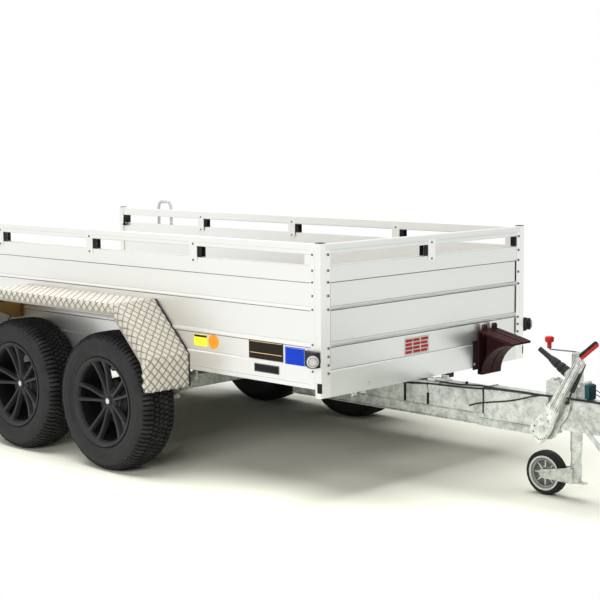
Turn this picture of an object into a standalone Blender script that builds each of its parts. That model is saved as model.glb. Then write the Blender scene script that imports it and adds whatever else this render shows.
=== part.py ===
"""Tandem axle drop-side trailer, parked on its jockey wheel with the tailgate hanging open.

Metres, +X towards the coupling, +Y to the left, +Z up, the ground at z = 0.
Stations along the trailer are measured from the middle of the front posts and then shifted,
so that the world origin is on the ground under the middle of the whole trailer.
"""
import math

import bmesh
import bpy
from mathutils import Matrix, Vector

for old in list(bpy.data.objects):
    bpy.data.objects.remove(old, do_unlink=True)

# Driving sizes of the load bed
bed_length = 3.545
bed_width = 1.646
front_bottom = 0.541
side_bottom = 0.583
front_sill_top = 0.672
side_sill_top = 0.690
lower_rail_top = 0.667
wall_top = 1.186
rail_bottom = 1.241
rail_top = 1.293
wall_thickness = 0.025
post_size = 0.040
rail_width = 0.036
stub_width = 0.036
stub_thickness = 0.024
bays_per_side = 4
floor_thickness = 0.018
ledge_width = 0.036
seat_gap = 0.0003

# Outer face of a side wall: height of each ridge's lower and upper edge
ridge_edges = ((0.786, 0.810), (0.967, 0.985), (1.103, 1.186))
ridge_height = 0.004

# Wheels
wheel_base = 0.823
tandem_middle = -1.7985
tyre_radius = 0.3815
tyre_width = 0.240
rim_radius = 0.2290
rim_lip_radius = 0.246
wheel_from_wall = 0.0265
spoke_pairs = 5
spoke_turn = 28.0
hub_depth = 0.040
wheel_steps = 36

# Drawbar
beam_half_width = 0.055
beam_bottom = 0.345
beam_top = 0.530
beam_rear = -0.950
band_top = 0.405
band_depth = 0.008
housing_rear = 0.390
housing_front = 0.800
box_rear = 0.860
box_front = 1.130
box_bottom = 0.385
box_top = 0.540
box_half_width = 0.050
coupling_height = 0.4625
nose_reach = 0.300
nose = box_front + nose_reach

# Tailgate
gate_gap = 0.006
hinge_behind_posts = 0.035
hinge_above_floor = 0.008

# Hand brake lever
lever_pivot = (0.803, 0.392)
lever_aim = (1.003, 0.757)
grip_aim = (0.0914, 0.0771)
grip_length = 0.125
lever_near = -0.115
lever_far = -0.090
lever_sheet = 0.003
strut_plane = -0.0735
quadrant_near = -0.066
strut_eye = (0.918, 0.528)
strut_lug = (1.001, 0.716)

# Jockey wheel
jockey_x = 0.846
jockey_y = 0.125
jockey_trail = 0.172
jockey_radius = 0.113
jockey_width = 0.060
jockey_top = 0.735
jockey_tube_bottom = 0.250
jockey_collar_top = 0.185
jockey_tube_radius = 0.030
jockey_leg_radius = 0.0265

# Values worked out from the sizes above
gap = seat_gap
hinge_height = lower_rail_top + hinge_above_floor
half_width = bed_width / 2
half_post = post_size / 2
half_wall = wall_thickness / 2
wheel_plane = half_width + half_wall + wheel_from_wall + tyre_width / 2
inner_side = half_width - half_wall
front_inner = -half_wall
rear_posts = -bed_length
bay = bed_length / bays_per_side
hinge_x = rear_posts - hinge_behind_posts
gate_far = 2 * hinge_x - (rear_posts + half_wall)
middle_x = (gate_far + nose) / 2
axle_stations = (tandem_middle + wheel_base / 2, tandem_middle - wheel_base / 2)

parts = bpy.data.collections.new("tandem_trailer")
cutters = bpy.data.collections.new("cutters")
bpy.context.scene.collection.children.link(parts)
bpy.context.scene.collection.children.link(cutters)


def paint(name, colour, roughness, metallic):
    """A material with one Principled shader."""
    material = bpy.data.materials.new(name)
    material.use_nodes = True
    shader = material.node_tree.nodes["Principled BSDF"]
    shader.inputs["Base Color"].default_value = (*colour, 1.0)
    shader.inputs["Roughness"].default_value = roughness
    shader.inputs["Metallic"].default_value = metallic
    return material


alloy = paint("anodised_alloy", (0.78, 0.78, 0.77), 0.40, 0.7)
galvanised = paint("galvanised_steel", (0.66, 0.68, 0.68), 0.45, 0.8)
chequer = paint("chequer_plate", (0.74, 0.73, 0.70), 0.30, 0.9)
rubber = paint("black_rubber", (0.03, 0.03, 0.03), 0.80, 0.0)
tyre_rubber = paint("tyre_rubber", (0.035, 0.035, 0.035), 0.85, 0.0)
black_metal = paint("black_painted_metal", (0.025, 0.025, 0.028), 0.35, 0.3)
maroon_plastic = paint("maroon_plastic", (0.10, 0.045, 0.055), 0.50, 0.0)
red_plastic = paint("red_plastic", (0.70, 0.03, 0.04), 0.35, 0.0)
lamp_plastic = paint("lamp_plastic", (0.70, 0.10, 0.08), 0.20, 0.0)
plywood = paint("coated_plywood", (0.16, 0.10, 0.07), 0.60, 0.0)


def at(x, y, z):
    """World place of a point whose station x is measured from the front posts."""
    return Vector((x - middle_x, y, z))


def shown(name, mesh, place, material):
    """A new object of the parts collection."""
    piece = bpy.data.objects.new(name, mesh)
    piece.matrix_world = place
    parts.objects.link(piece)
    mesh.materials.clear()
    mesh.materials.append(material)
    return piece


def settled(piece):
    """The piece as a plain closed mesh, with its modifiers or curve bevel applied."""
    bpy.context.view_layer.update()
    graph = bpy.context.evaluated_depsgraph_get()
    mesh = bpy.data.meshes.new_from_object(piece.evaluated_get(graph))
    name = piece.name
    place = piece.matrix_world.copy()
    material = mesh.materials[0] if mesh.materials else alloy
    form = bmesh.new()
    form.from_mesh(mesh)
    bmesh.ops.remove_doubles(form, verts=form.verts, dist=0.00001)
    bmesh.ops.dissolve_degenerate(form, edges=form.edges, dist=0.00001)
    bmesh.ops.recalc_face_normals(form, faces=form.faces)
    form.to_mesh(mesh)
    form.free()
    bpy.data.objects.remove(piece, do_unlink=True)
    fresh = shown(name, mesh, place, material)
    fresh.name = name
    return fresh


def block(name, low, high, material, rounding=0.0):
    """A box between two corners, its stations measured from the front posts."""
    bpy.ops.mesh.primitive_cube_add(size=1)
    piece = bpy.context.object
    piece.name = name
    low_point = at(*low)
    high_point = at(*high)
    piece.data.transform(Matrix.Diagonal((*(high_point - low_point), 1.0)))
    piece.location = (low_point + high_point) / 2
    piece.data.materials.append(material)
    if rounding > 0:
        bevel = piece.modifiers.new("rounding", "BEVEL")
        bevel.width = rounding
        bevel.segments = 2
    return settled(piece)


def rod(name, start, end, radius, material, sides=16, end_radius=None):
    """A round bar or cone between two points, its stations measured from the front posts."""
    first = at(*start)
    last = at(*end)
    form = bmesh.new()
    bmesh.ops.create_cone(
        form,
        cap_ends=True,
        segments=sides,
        radius1=radius,
        radius2=radius if end_radius is None else end_radius,
        depth=(last - first).length,
    )
    mesh = bpy.data.meshes.new(name)
    form.to_mesh(mesh)
    form.free()
    turn = Vector((0, 0, 1)).rotation_difference(last - first).to_matrix().to_4x4()
    return shown(name, mesh, Matrix.Translation((first + last) / 2) @ turn, material)


def plate(name, outline, plane, low, high, material, holes=()):
    """A flat outline given in plane xz, yz or xy, carried from low to high along the third axis."""
    curve = bpy.data.curves.new(name, "CURVE")
    curve.dimensions = "2D"
    curve.fill_mode = "BOTH"
    curve.extrude = (high - low) / 2
    for loop in (outline, *holes):
        spline = curve.splines.new("POLY")
        spline.points.add(len(loop) - 1)
        spline.use_cyclic_u = True
        for point, (across, up) in zip(spline.points, loop):
            point.co = (across, up, 0, 1)
    piece = bpy.data.objects.new(name, curve)
    parts.objects.link(piece)
    curve.materials.append(material)
    middle = (low + high) / 2
    if plane == "xz":
        piece.location = at(0, middle, 0)
        piece.rotation_euler = (math.pi / 2, 0, 0)
    elif plane == "yz":
        piece.location = at(middle, 0, 0)
        piece.rotation_euler = (math.pi / 2, 0, math.pi / 2)
    else:
        piece.location = at(0, 0, middle)
    return settled(piece)


def turned(name, profile, centre, axis, material, steps=32, closed=False):
    """A profile of (radius, height) points turned about an axis through the centre."""
    mesh = bpy.data.meshes.new(name)
    points = [(radius, 0, height) for radius, height in profile]
    edges = [(i, i + 1) for i in range(len(points) - 1)]
    if closed:
        edges.append((len(points) - 1, 0))
    mesh.from_pydata(points, edges, [])
    turn = Vector((0, 0, 1)).rotation_difference(Vector(axis)).to_matrix().to_4x4()
    piece = shown(name, mesh, Matrix.Translation(at(*centre)) @ turn, material)
    screw = piece.modifiers.new("turning", "SCREW")
    screw.steps = steps
    screw.render_steps = steps
    screw.use_merge_vertices = True
    screw.merge_threshold = 0.0001
    return settled(piece)


def tube(name, route, radius, material, cyclic=False, resolution=4):
    """A round tube along points whose stations are measured from the front posts."""
    curve = bpy.data.curves.new(name, "CURVE")
    curve.dimensions = "3D"
    curve.bevel_depth = radius
    curve.bevel_resolution = resolution
    curve.use_fill_caps = True
    spline = curve.splines.new("POLY")
    spline.points.add(len(route) - 1)
    spline.use_cyclic_u = cyclic
    for point, place in zip(spline.points, route):
        point.co = (*at(*place), 1)
    piece = bpy.data.objects.new(name, curve)
    parts.objects.link(piece)
    curve.materials.append(material)
    return settled(piece)


def combined(first, others, operation):
    """The first piece with the others joined to it or cut from it."""
    for other in others:
        change = first.modifiers.new(operation.lower(), "BOOLEAN")
        change.operation = operation
        change.solver = "EXACT"
        change.object = other
    result = settled(first)
    for other in others:
        bpy.data.objects.remove(other, do_unlink=True)
    return result


def united(first, *others):
    return combined(first, others, "UNION")


def carved(first, *others):
    return combined(first, others, "DIFFERENCE")


def smoothed(piece, degrees=35):
    piece.data.shade_smooth()
    piece.data.set_sharp_from_angle(angle=math.radians(degrees))
    return piece


def mirrored(piece, name):
    """The same piece on the other side of the trailer."""
    mesh = piece.data.copy()
    mesh.transform(piece.matrix_world)
    mesh.transform(Matrix.Diagonal((1, -1, 1, 1)))
    mesh.flip_normals()
    material = mesh.materials[0]
    return smoothed(shown(name, mesh, Matrix.Identity(4), material))


def arc(centre, radius, start, end, steps):
    """Points of an arc in degrees, as (across, up) pairs."""
    points = []
    for step in range(steps + 1):
        angle = math.radians(start + (end - start) * step / steps)
        points.append((centre[0] + radius * math.cos(angle), centre[1] + radius * math.sin(angle)))
    return points


def on_joint(piece, name, place):
    """Hangs a moving piece on an empty that stands on its joint's axis."""
    pivot = bpy.data.objects.get(name)
    if pivot is None:
        pivot = bpy.data.objects.new(name, None)
        pivot.location = at(*place)
        parts.objects.link(pivot)
        bpy.context.view_layer.update()
    keep = piece.matrix_world.copy()
    piece.parent = pivot
    piece.matrix_parent_inverse = pivot.matrix_world.inverted()
    piece.matrix_world = keep


# Walls


sill_out = 0.006
ridge_slope = 0.003
weld_depth = 0.004


def wall_section(bottom, sill_top):
    """Section of a board: distance outwards from its middle plane, and height."""
    points = [(-half_wall, bottom), (half_wall + sill_out, bottom)]
    points.append((half_wall + sill_out, sill_top - sill_out))
    points.append((half_wall, sill_top))
    for low, high in ridge_edges:
        points.append((half_wall, low))
        points.append((half_wall + ridge_height, low + ridge_slope))
        points.append((half_wall + ridge_height, high - ridge_slope))
        points.append((half_wall, high))
    points.append((-half_wall, ridge_edges[-1][1]))
    return points


ledge_top = lower_rail_top - floor_thickness - gap
ledge_end = 0.030
wall_rear = rear_posts + half_post + gap
wall_front = -half_post - gap


def side_wall(name, side):
    section = [(side * (half_width + out), z) for out, z in wall_section(side_bottom, side_sill_top)]
    board = plate(name, section, "yz", wall_rear, wall_front, alloy)
    ledge_inner = inner_side - ledge_width
    sides = sorted((side * ledge_inner, side * (inner_side + weld_depth)))
    low = (wall_rear + ledge_end, sides[0], side_bottom)
    high = (wall_front - ledge_end, sides[1], ledge_top)
    return united(board, block("ledge", low, high, alloy))


def front_wall():
    section = [(out, z) for out, z in wall_section(front_bottom, front_sill_top)]
    reach = half_width - half_post - gap
    board = plate("wall_front", section, "xz", -reach, reach, alloy)
    ledge_reach = inner_side - ledge_width - gap
    low = (front_inner - ledge_width, -ledge_reach, front_bottom)
    high = (front_inner + weld_depth, ledge_reach, ledge_top)
    return united(board, block("ledge", low, high, alloy))


side_wall("wall_right", -1)
side_wall("wall_left", 1)
front_wall()

floor_bottom = lower_rail_top - floor_thickness
floor_reach = inner_side - gap
notch_reach = half_width - half_post - gap
floor_half = [(wall_rear, floor_reach), (wall_front, floor_reach), (wall_front, notch_reach)]
floor_half.append((front_inner - gap, notch_reach))
floor_outline = [(x, -y) for x, y in floor_half] + floor_half[::-1]
plate("floor", floor_outline, "xy", floor_bottom, lower_rail_top, plywood)

post_cap = 0.004
post_rounding = 0.003
for end_name, station in (("front", 0.0), ("rear", rear_posts)):
    for side_name, side in (("right", -1), ("left", 1)):
        middle = side * half_width
        low = (station - half_post, middle - half_post, front_bottom)
        high = (station + half_post, middle + half_post, rail_top + post_cap)
        block("post_" + end_name + "_" + side_name, low, high, alloy, post_rounding)


# Top rails with their short posts
stub_bottom = wall_top + gap
rail_rounding = 0.004


def stub(x, y, along_x):
    width = stub_width / 2
    depth = stub_thickness / 2
    reach_x, reach_y = (width, depth) if along_x else (depth, width)
    low = (x - reach_x, y - reach_y, stub_bottom)
    high = (x + reach_x, y + reach_y, rail_bottom + weld_depth)
    return block("stub", low, high, alloy)


def side_rail(name, side):
    middle = side * half_width
    low = (wall_rear, middle - rail_width / 2, rail_bottom)
    high = (wall_front, middle + rail_width / 2, rail_top)
    rail = block(name, low, high, alloy, rail_rounding)
    stubs = [stub(-bay * number, middle, True) for number in range(1, bays_per_side)]
    return united(rail, *stubs)


side_rail("rail_right", -1)
side_rail("rail_left", 1)

rail_reach = half_width - half_post - gap
front_rail_low = (-rail_width / 2, -rail_reach, rail_bottom)
front_rail_high = (rail_width / 2, rail_reach, rail_top)
front_rail = block("rail_front", front_rail_low, front_rail_high, alloy, rail_rounding)
united(front_rail, stub(0.0, 0.0, False))


# Rear beam with recesses for the tail lamps
beam_rear_face = rear_posts - half_post
lamp_width = 0.230
lamp_height = 0.090
lamp_depth = 0.036
lamp_inset = 0.002
lamp_from_post = 0.020
lamp_rounding = 0.004
cut_past = 0.010
lamp_middle = half_width - half_post - lamp_from_post - lamp_width / 2
lamp_bottom = front_bottom + (lower_rail_top - front_bottom - lamp_height) / 2
rear_beam_reach = half_width - half_post - gap
rear_beam = block(
    "rear_beam",
    (beam_rear_face, -rear_beam_reach, front_bottom),
    (rear_posts + half_post, rear_beam_reach, lower_rail_top),
    alloy,
)
recesses = []
for side in (-1, 1):
    low = (beam_rear_face - cut_past, side * lamp_middle - lamp_width / 2, lamp_bottom)
    high = (beam_rear_face + lamp_depth, side * lamp_middle + lamp_width / 2, lamp_bottom + lamp_height)
    recesses.append(block("recess", low, high, alloy))
rear_beam = carved(rear_beam, *recesses)

knuckle_length = 0.040
knuckle_radius = 0.008
leaf_rise = 0.002
fixed_leaf_depth = 0.012
hinge_reach = 0.75 * bed_width / 2
hinges = 4
hinge_places = [hinge_reach * (2 * number / (hinges - 1) - 1) for number in range(hinges)]
knuckles = []
for y in hinge_places:
    fixed = rod(
        "fixed_knuckle",
        (hinge_x, y - knuckle_length, hinge_height),
        (hinge_x, y, hinge_height),
        knuckle_radius,
        alloy,
        12,
    )
    low = (hinge_x, y - knuckle_length, lower_rail_top - fixed_leaf_depth)
    high = (beam_rear_face + weld_depth, y, lower_rail_top)
    barrel_low = (hinge_x - knuckle_radius / 2, y - knuckle_length, lower_rail_top - leaf_rise)
    barrel_high = (hinge_x + knuckle_radius / 2, y, hinge_height)
    fixed = united(fixed, block("barrel", barrel_low, barrel_high, alloy))
    knuckles.append(united(block("leaf", low, high, alloy), fixed))
united(rear_beam, *knuckles)

for side_name, side in (("right", -1), ("left", 1)):
    low = (beam_rear_face + lamp_inset, side * lamp_middle - lamp_width / 2 + gap, lamp_bottom + gap)
    high = (
        beam_rear_face + lamp_depth - gap,
        side * lamp_middle + lamp_width / 2 - gap,
        lamp_bottom + lamp_height - gap,
    )
    block("lamp_rear_" + side_name, low, high, lamp_plastic, lamp_rounding)


# Tailgate, hanging behind the beam
gate_above_floor = 0.005
gate_reach = half_width - half_post - gate_gap


def gate_point(station, height):
    """Where a point of the closed gate is when the gate hangs open."""
    return (2 * hinge_x - station, 2 * hinge_height - height)


gate_bottom = lower_rail_top + gate_above_floor
gate_outline = [gate_point(rear_posts + half_wall, gate_bottom)]
gate_outline.append(gate_point(rear_posts - half_wall, gate_bottom))
for low, high in ridge_edges:
    gate_outline.append(gate_point(rear_posts - half_wall, low))
    gate_outline.append(gate_point(rear_posts - half_wall - ridge_height, low + ridge_slope))
    gate_outline.append(gate_point(rear_posts - half_wall - ridge_height, high - ridge_slope))
    gate_outline.append(gate_point(rear_posts - half_wall, high))
gate_outline.append(gate_point(rear_posts + half_wall, ridge_edges[-1][1]))
gate = plate("tailgate", gate_outline, "xz", -gate_reach, gate_reach, alloy)
gate_near_face = 2 * hinge_x - (rear_posts - half_wall)
gate_leaf_length = 0.035
gate_leaf_thickness = 0.006
gate_hanging_top = 2 * hinge_height - gate_bottom
gate_knuckles = []
for y in hinge_places:
    moving = rod(
        "moving_knuckle",
        (hinge_x, y + gap, hinge_height),
        (hinge_x, y + knuckle_length, hinge_height),
        knuckle_radius,
        alloy,
        12,
    )
    low = (gate_near_face - weld_depth, y + gap, gate_hanging_top - gate_leaf_length)
    high = (gate_near_face + gate_leaf_thickness, y + knuckle_length, hinge_height)
    arm_low = (gate_near_face - leaf_rise, y + gap, hinge_height - gate_leaf_thickness)
    arm_high = (hinge_x, y + knuckle_length, hinge_height + leaf_rise)
    leaf = united(block("gate_leaf", low, high, alloy), block("arm", arm_low, arm_high, alloy))
    gate_knuckles.append(united(leaf, moving))
gate = united(gate, *gate_knuckles)
on_joint(gate, "tailgate_pivot", (hinge_x, 0, hinge_height))


# Grab hoops outside the side walls near the rear
hoop_radius = 0.011
hoop_plane = half_width + 0.043
hoop_front = -3.055
hoop_span = 0.135
hoop_rear = hoop_front - hoop_span
hoop_rise = 0.064
hoop_top = rail_top + hoop_rise
hoop_bottom = 1.000
hoop_bend = 0.040
hoop_route = [(hoop_rear, hoop_bottom), (hoop_rear, hoop_top - hoop_radius - hoop_bend)]
bend_height = hoop_top - hoop_radius - hoop_bend
hoop_route += arc((hoop_rear + hoop_bend, bend_height), hoop_bend, 180, 90, 5)[1:]
hoop_route += arc((hoop_front - hoop_bend, bend_height), hoop_bend, 90, 0, 5)
hoop_route.append((hoop_front, hoop_bottom))
hoop = tube("hoop_left", [(x, hoop_plane, z) for x, z in hoop_route], hoop_radius, galvanised, False, 2)
pad_width = 0.018
pad_height = 0.016
pads = []
for station in (hoop_rear, hoop_front):
    for height in (hoop_bottom + pad_height + weld_depth, (ridge_edges[-1][0] + wall_top) / 2):
        face = half_width + half_wall + (ridge_height if height > ridge_edges[-1][0] else 0)
        low = (station - pad_width, face + gap, height - pad_height)
        high = (station + pad_width, hoop_plane + weld_depth, height + pad_height)
        pads.append(block("pad", low, high, galvanised))
hoop = smoothed(united(hoop, *pads))
mirrored(hoop, "hoop_right")


# Chassis under the floor: two rails, cross members and saddles on the drawbar beam
chassis_rail_inner = 0.400
chassis_rail_width = 0.060
chassis_rail_outer = chassis_rail_inner + chassis_rail_width
chassis_top = lower_rail_top - floor_thickness - gap
member_count = 6
member_from_wall = 0.0975
member_from_posts = 0.145
member_bottom = 0.600
member_width = 0.040
member_reach = inner_side - ledge_width - gap
first_member = front_inner - member_from_wall
member_step = (rear_posts + member_from_posts - first_member) / (member_count - 1)
member_stations = [first_member + member_step * number for number in range(member_count)]
rail_rear_end = rear_posts + half_post + gap
rail_front_end = front_inner - ledge_width - gap
saddle_width = 0.060

axle_drop = 0.081
axle_tube_height = front_bottom - axle_drop
axle_tube_size = 0.080
arm_length = 0.170
bracket_width = 0.140

members = []
for station in member_stations:
    low = (station - member_width / 2, -member_reach, member_bottom)
    high = (station + member_width / 2, member_reach, chassis_top)
    members.append(block("cross_member", low, high, galvanised))
rails = []
for side in (-1, 1):
    sides = sorted((side * chassis_rail_inner, side * chassis_rail_outer))
    low = (rail_rear_end, sides[0], front_bottom)
    high = (rail_front_end, sides[1], chassis_top - weld_depth)
    rails.append(block("chassis_rail", low, high, galvanised))
brackets = []
for station in axle_stations:
    for side in (-1, 1):
        middle = station + arm_length
        sides = sorted((side * chassis_rail_inner, side * chassis_rail_outer))
        low = (middle - bracket_width / 2, sides[0], axle_tube_height + axle_tube_size / 2 + gap)
        high = (middle + bracket_width / 2, sides[1], front_bottom + weld_depth)
        brackets.append(block("axle_bracket", low, high, galvanised))
saddles = []
for station in member_stations[:2]:
    low = (station - saddle_width / 2, -chassis_rail_outer, beam_top + gap)
    high = (station + saddle_width / 2, chassis_rail_outer, front_bottom + 2 * weld_depth)
    saddles.append(block("saddle", low, high, galvanised))
united(rails[0], rails[1], *members, *brackets, *saddles).name = "chassis"


# Axles: square tube, trailing arms, stub axles, brake backing plates and dampers
axle_tube_rounding = 0.008
arm_inner = wheel_plane - 0.222
arm_thickness = 0.040
arm_outer = arm_inner + arm_thickness
arm_root_radius = 0.052
arm_end_radius = 0.045
arm_turns = 6
stub_radius = 0.024
stub_end = wheel_plane - hub_depth - gap
backing_plane = wheel_plane - 0.108
backing_thickness = 0.006
backing_radius = 0.120
damper_plane = arm_inner + 0.022
damper_foot = (0.074, -0.058)
damper_head = (0.254, 0.063)
damper_radius = 0.021
damper_rod_radius = 0.008
damper_eye_radius = 0.016
damper_eye_half = 0.018
damper_lug_thickness = 0.010


def across_rod(name, x, z, side, inner, outer, radius, sides=16):
    """A round bar across the trailer on one side, between two distances from its middle."""
    return rod(name, (x, side * inner, z), (x, side * outer, z), radius, galvanised, sides)


def damper(tube_x, side):
    """The pieces of one damper: lug on the axle tube, eyes, body, rod and the hanger above."""
    foot = Vector((tube_x + damper_foot[0], axle_tube_height + damper_foot[1]))
    head = Vector((tube_x + damper_head[0], axle_tube_height + damper_head[1]))
    middle = foot.lerp(head, 0.42)
    lug_outline = arc(foot, damper_eye_radius, -130, 60, 4)
    lug_outline += [
        (tube_x, axle_tube_height + 0.3 * axle_tube_size),
        (tube_x, axle_tube_height - 0.4 * axle_tube_size),
    ]
    lug_sides = sorted(side * (arm_inner - depth) for depth in (damper_lug_thickness, 0))
    hanger_low = (head.x - damper_eye_radius, 0, head.y)
    hanger_high = (head.x + damper_eye_radius, 0, side_bottom - gap)
    hanger_sides = sorted(side * (damper_plane + out) for out in (-0.005, 0.005))
    inner = damper_plane - damper_eye_half
    outer = damper_plane + damper_eye_half
    return [
        plate("lug", lug_outline, "xz", lug_sides[0], lug_sides[1], galvanised),
        across_rod("foot_eye", foot.x, foot.y, side, arm_inner - damper_lug_thickness, outer, damper_eye_radius),
        across_rod("head_eye", head.x, head.y, side, inner, outer, damper_eye_radius),
        rod(
            "damper_rod",
            (foot.x, side * damper_plane, foot.y),
            (head.x, side * damper_plane, head.y),
            damper_rod_radius,
            galvanised,
            12,
        ),
        rod(
            "damper_body",
            (middle.x, side * damper_plane, middle.y),
            (head.x, side * damper_plane, head.y),
            damper_radius,
            galvanised,
        ),
        block(
            "hanger",
            (hanger_low[0], hanger_sides[0], hanger_low[2]),
            (hanger_high[0], hanger_sides[1], hanger_high[2]),
            galvanised,
        ),
    ]


def axle(name, station):
    tube_x = station + arm_length
    half_tube = axle_tube_size / 2
    reach = arm_inner + weld_depth
    body = block(
        name,
        (tube_x - half_tube, -reach, axle_tube_height - half_tube),
        (tube_x + half_tube, reach, axle_tube_height + half_tube),
        galvanised,
        axle_tube_rounding,
    )
    lean = math.degrees(math.atan2(tyre_radius - axle_tube_height, -arm_length))
    arm_outline = arc((station, tyre_radius), arm_end_radius, lean - 90, lean + 90, arm_turns)
    arm_outline += arc((tube_x, axle_tube_height), arm_root_radius, lean + 90, lean + 270, arm_turns)
    additions = []
    for side in (-1, 1):
        sides = sorted((side * arm_inner, side * arm_outer))
        additions.append(plate("arm", arm_outline, "xz", sides[0], sides[1], galvanised))
        stub_start = (arm_inner + arm_outer) / 2
        additions.append(
            across_rod("stub_axle", station, tyre_radius, side, stub_start, stub_end, stub_radius)
        )
        backing_far = backing_plane + backing_thickness
        additions.append(
            across_rod("backing", station, tyre_radius, side, backing_plane, backing_far, backing_radius, 20)
        )
        additions += damper(tube_x, side)
    return smoothed(united(body, *additions))


axle("axle_front", axle_stations[0])
axle("axle_rear", axle_stations[1])


# Wheels: the same tyre and rim, turned about for the left side
bead_half = 0.100
rim_half = 0.106
rim_flange = 0.007
rim_flange_lean = 0.010
drop_radius = 0.214
shoulder_width = 0.060
shoulder_drop = 0.008
drum_radius = 0.125
drum_depth = 0.090
drum_face = 0.034
cap_radius = 0.062
cap_front = 0.070
spoke_root = 0.045
spoke_fork = 0.082
spoke_end = 0.218
spoke_root_half = 0.028
spoke_end_half = 0.052
spoke_slot_half = 0.030
fork_half = 0.005
spoke_thickness = 0.028
spoke_root_height = 0.047
spoke_dish = 0.031


def tyre_profile():
    """Closed section of the tyre as (radius, distance from its middle plane)."""
    half = tyre_width / 2
    outer_side = [
        (rim_radius, bead_half),
        (rim_lip_radius + 0.002, bead_half + 0.004),
        (rim_lip_radius + 0.039, half),
        (tyre_radius - 0.045, half - 0.004),
        (tyre_radius - shoulder_drop, half - shoulder_width / 2),
        (tyre_radius, half - shoulder_width),
    ]
    return [(radius, -across) for radius, across in outer_side] + outer_side[::-1]


def rim_profile():
    """Closed section of the rim: bead seats, flanges and the drop between them."""
    seat = rim_radius - gap
    flange = rim_half + rim_flange
    outer_side = [
        (seat, rim_half),
        (rim_lip_radius, rim_half),
        (rim_lip_radius, flange),
        (rim_lip_radius - rim_flange_lean, flange + 0.002),
        (drop_radius + 0.005, rim_half - 0.016),
    ]
    return [(radius, -across) for radius, across in outer_side] + [(drop_radius, 0)] + outer_side[::-1]


def twin_spoke(angle):
    """Two bars that part from the hub to the rim, as one forked plate, dished outwards."""
    outline = [(spoke_root, -spoke_root_half), (spoke_end, -spoke_end_half)]
    outline += [(spoke_end, -spoke_slot_half), (spoke_fork, -fork_half)]
    outline += [(x, -y) for x, y in reversed(outline)]
    bars = plate("twin_spoke", outline, "xy", -spoke_thickness / 2, spoke_thickness / 2, black_metal)
    for vertex in bars.data.vertices:
        reach = math.hypot(vertex.co.x, vertex.co.y)
        vertex.co.z += spoke_root_height + spoke_dish * (reach / spoke_end) ** 2
    bars.data.transform(Matrix.Rotation(angle, 4, "Z"))
    return bars


hub_profile = [(0, cap_front), (cap_radius / 2, cap_front), (cap_radius, cap_front - 0.008)]
hub_profile += [(cap_radius + 0.004, drum_face + 0.006), (drum_radius, drum_face), (drum_radius, -drum_depth)]
hub_profile += [(drum_radius - 0.010, -drum_depth), (drum_radius - 0.015, -hub_depth), (0, -hub_depth)]
rim = turned("rim", rim_profile(), (0, 0, 0), (0, 0, 1), black_metal, wheel_steps, True)
hub = turned("hub", hub_profile, (0, 0, 0), (0, 0, 1), black_metal, 20)
spokes = []
for pair in range(spoke_pairs):
    spokes.append(twin_spoke(math.radians(spoke_turn) + math.tau * pair / spoke_pairs))
rim = united(rim, hub, *spokes)
tyre = turned("tyre", tyre_profile(), (0, 0, 0), (0, 0, 1), tyre_rubber, wheel_steps, True)
for axle_name, station in zip(("front_", "rear_"), axle_stations):
    for side_name, side in (("right", -1), ("left", 1)):
        place = Matrix.Translation(at(station, side * wheel_plane, tyre_radius))
        turn = Matrix.Rotation(-side * math.pi / 2, 4, "X")
        for piece, kind in ((rim, "rim_"), (tyre, "tyre_")):
            mesh = piece.data.copy()
            mesh.transform(Matrix.Translation(-at(0, 0, 0)) @ piece.matrix_world)
            smoothed(shown(kind + axle_name + side_name, mesh, place @ turn, piece.data.materials[0]))
for piece in (rim, tyre):
    bpy.data.objects.remove(piece, do_unlink=True)


# Fenders of bent plate over both wheels
fender_from_wall = 0.010
fender_inner = half_width + half_wall + fender_from_wall
fender_width = 0.2765
fender_outer = fender_inner + fender_width
fender_top = 0.935
fender_sheet = 0.003
fender_lip = 0.048
fender_corner = 0.012
fender_bend = 0.5835
fender_knee = 0.8535
fender_knee_height = 0.665
fender_foot_height = 0.491
foot_lip = 0.004
stay_width = 0.030
stay_depth = 0.020
top_stays = (-0.52, 0.0, 0.52)
end_stay_height = 0.050


def fender_path():
    """The plate from rear to front, as (distance from the tandem's middle, height)."""
    half = [(fender_bend, fender_top), (fender_knee, fender_knee_height), (fender_knee, fender_foot_height)]
    return [(-x, z) for x, z in reversed(half)] + half


def inwards(path, index):
    """Direction into the wheel space at a bend, long enough for the lip to keep its depth."""
    here = Vector(path[index])
    total = Vector((0, 0))
    for start, end in ((index - 1, index), (index, index + 1)):
        if start >= 0 and end < len(path):
            step = (Vector(path[end]) - Vector(path[start])).normalized()
            total += Vector((step.y, -step.x))
    single = index in (0, len(path) - 1)
    return here, total / total.length_squared * (1 if single else 2)


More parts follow.
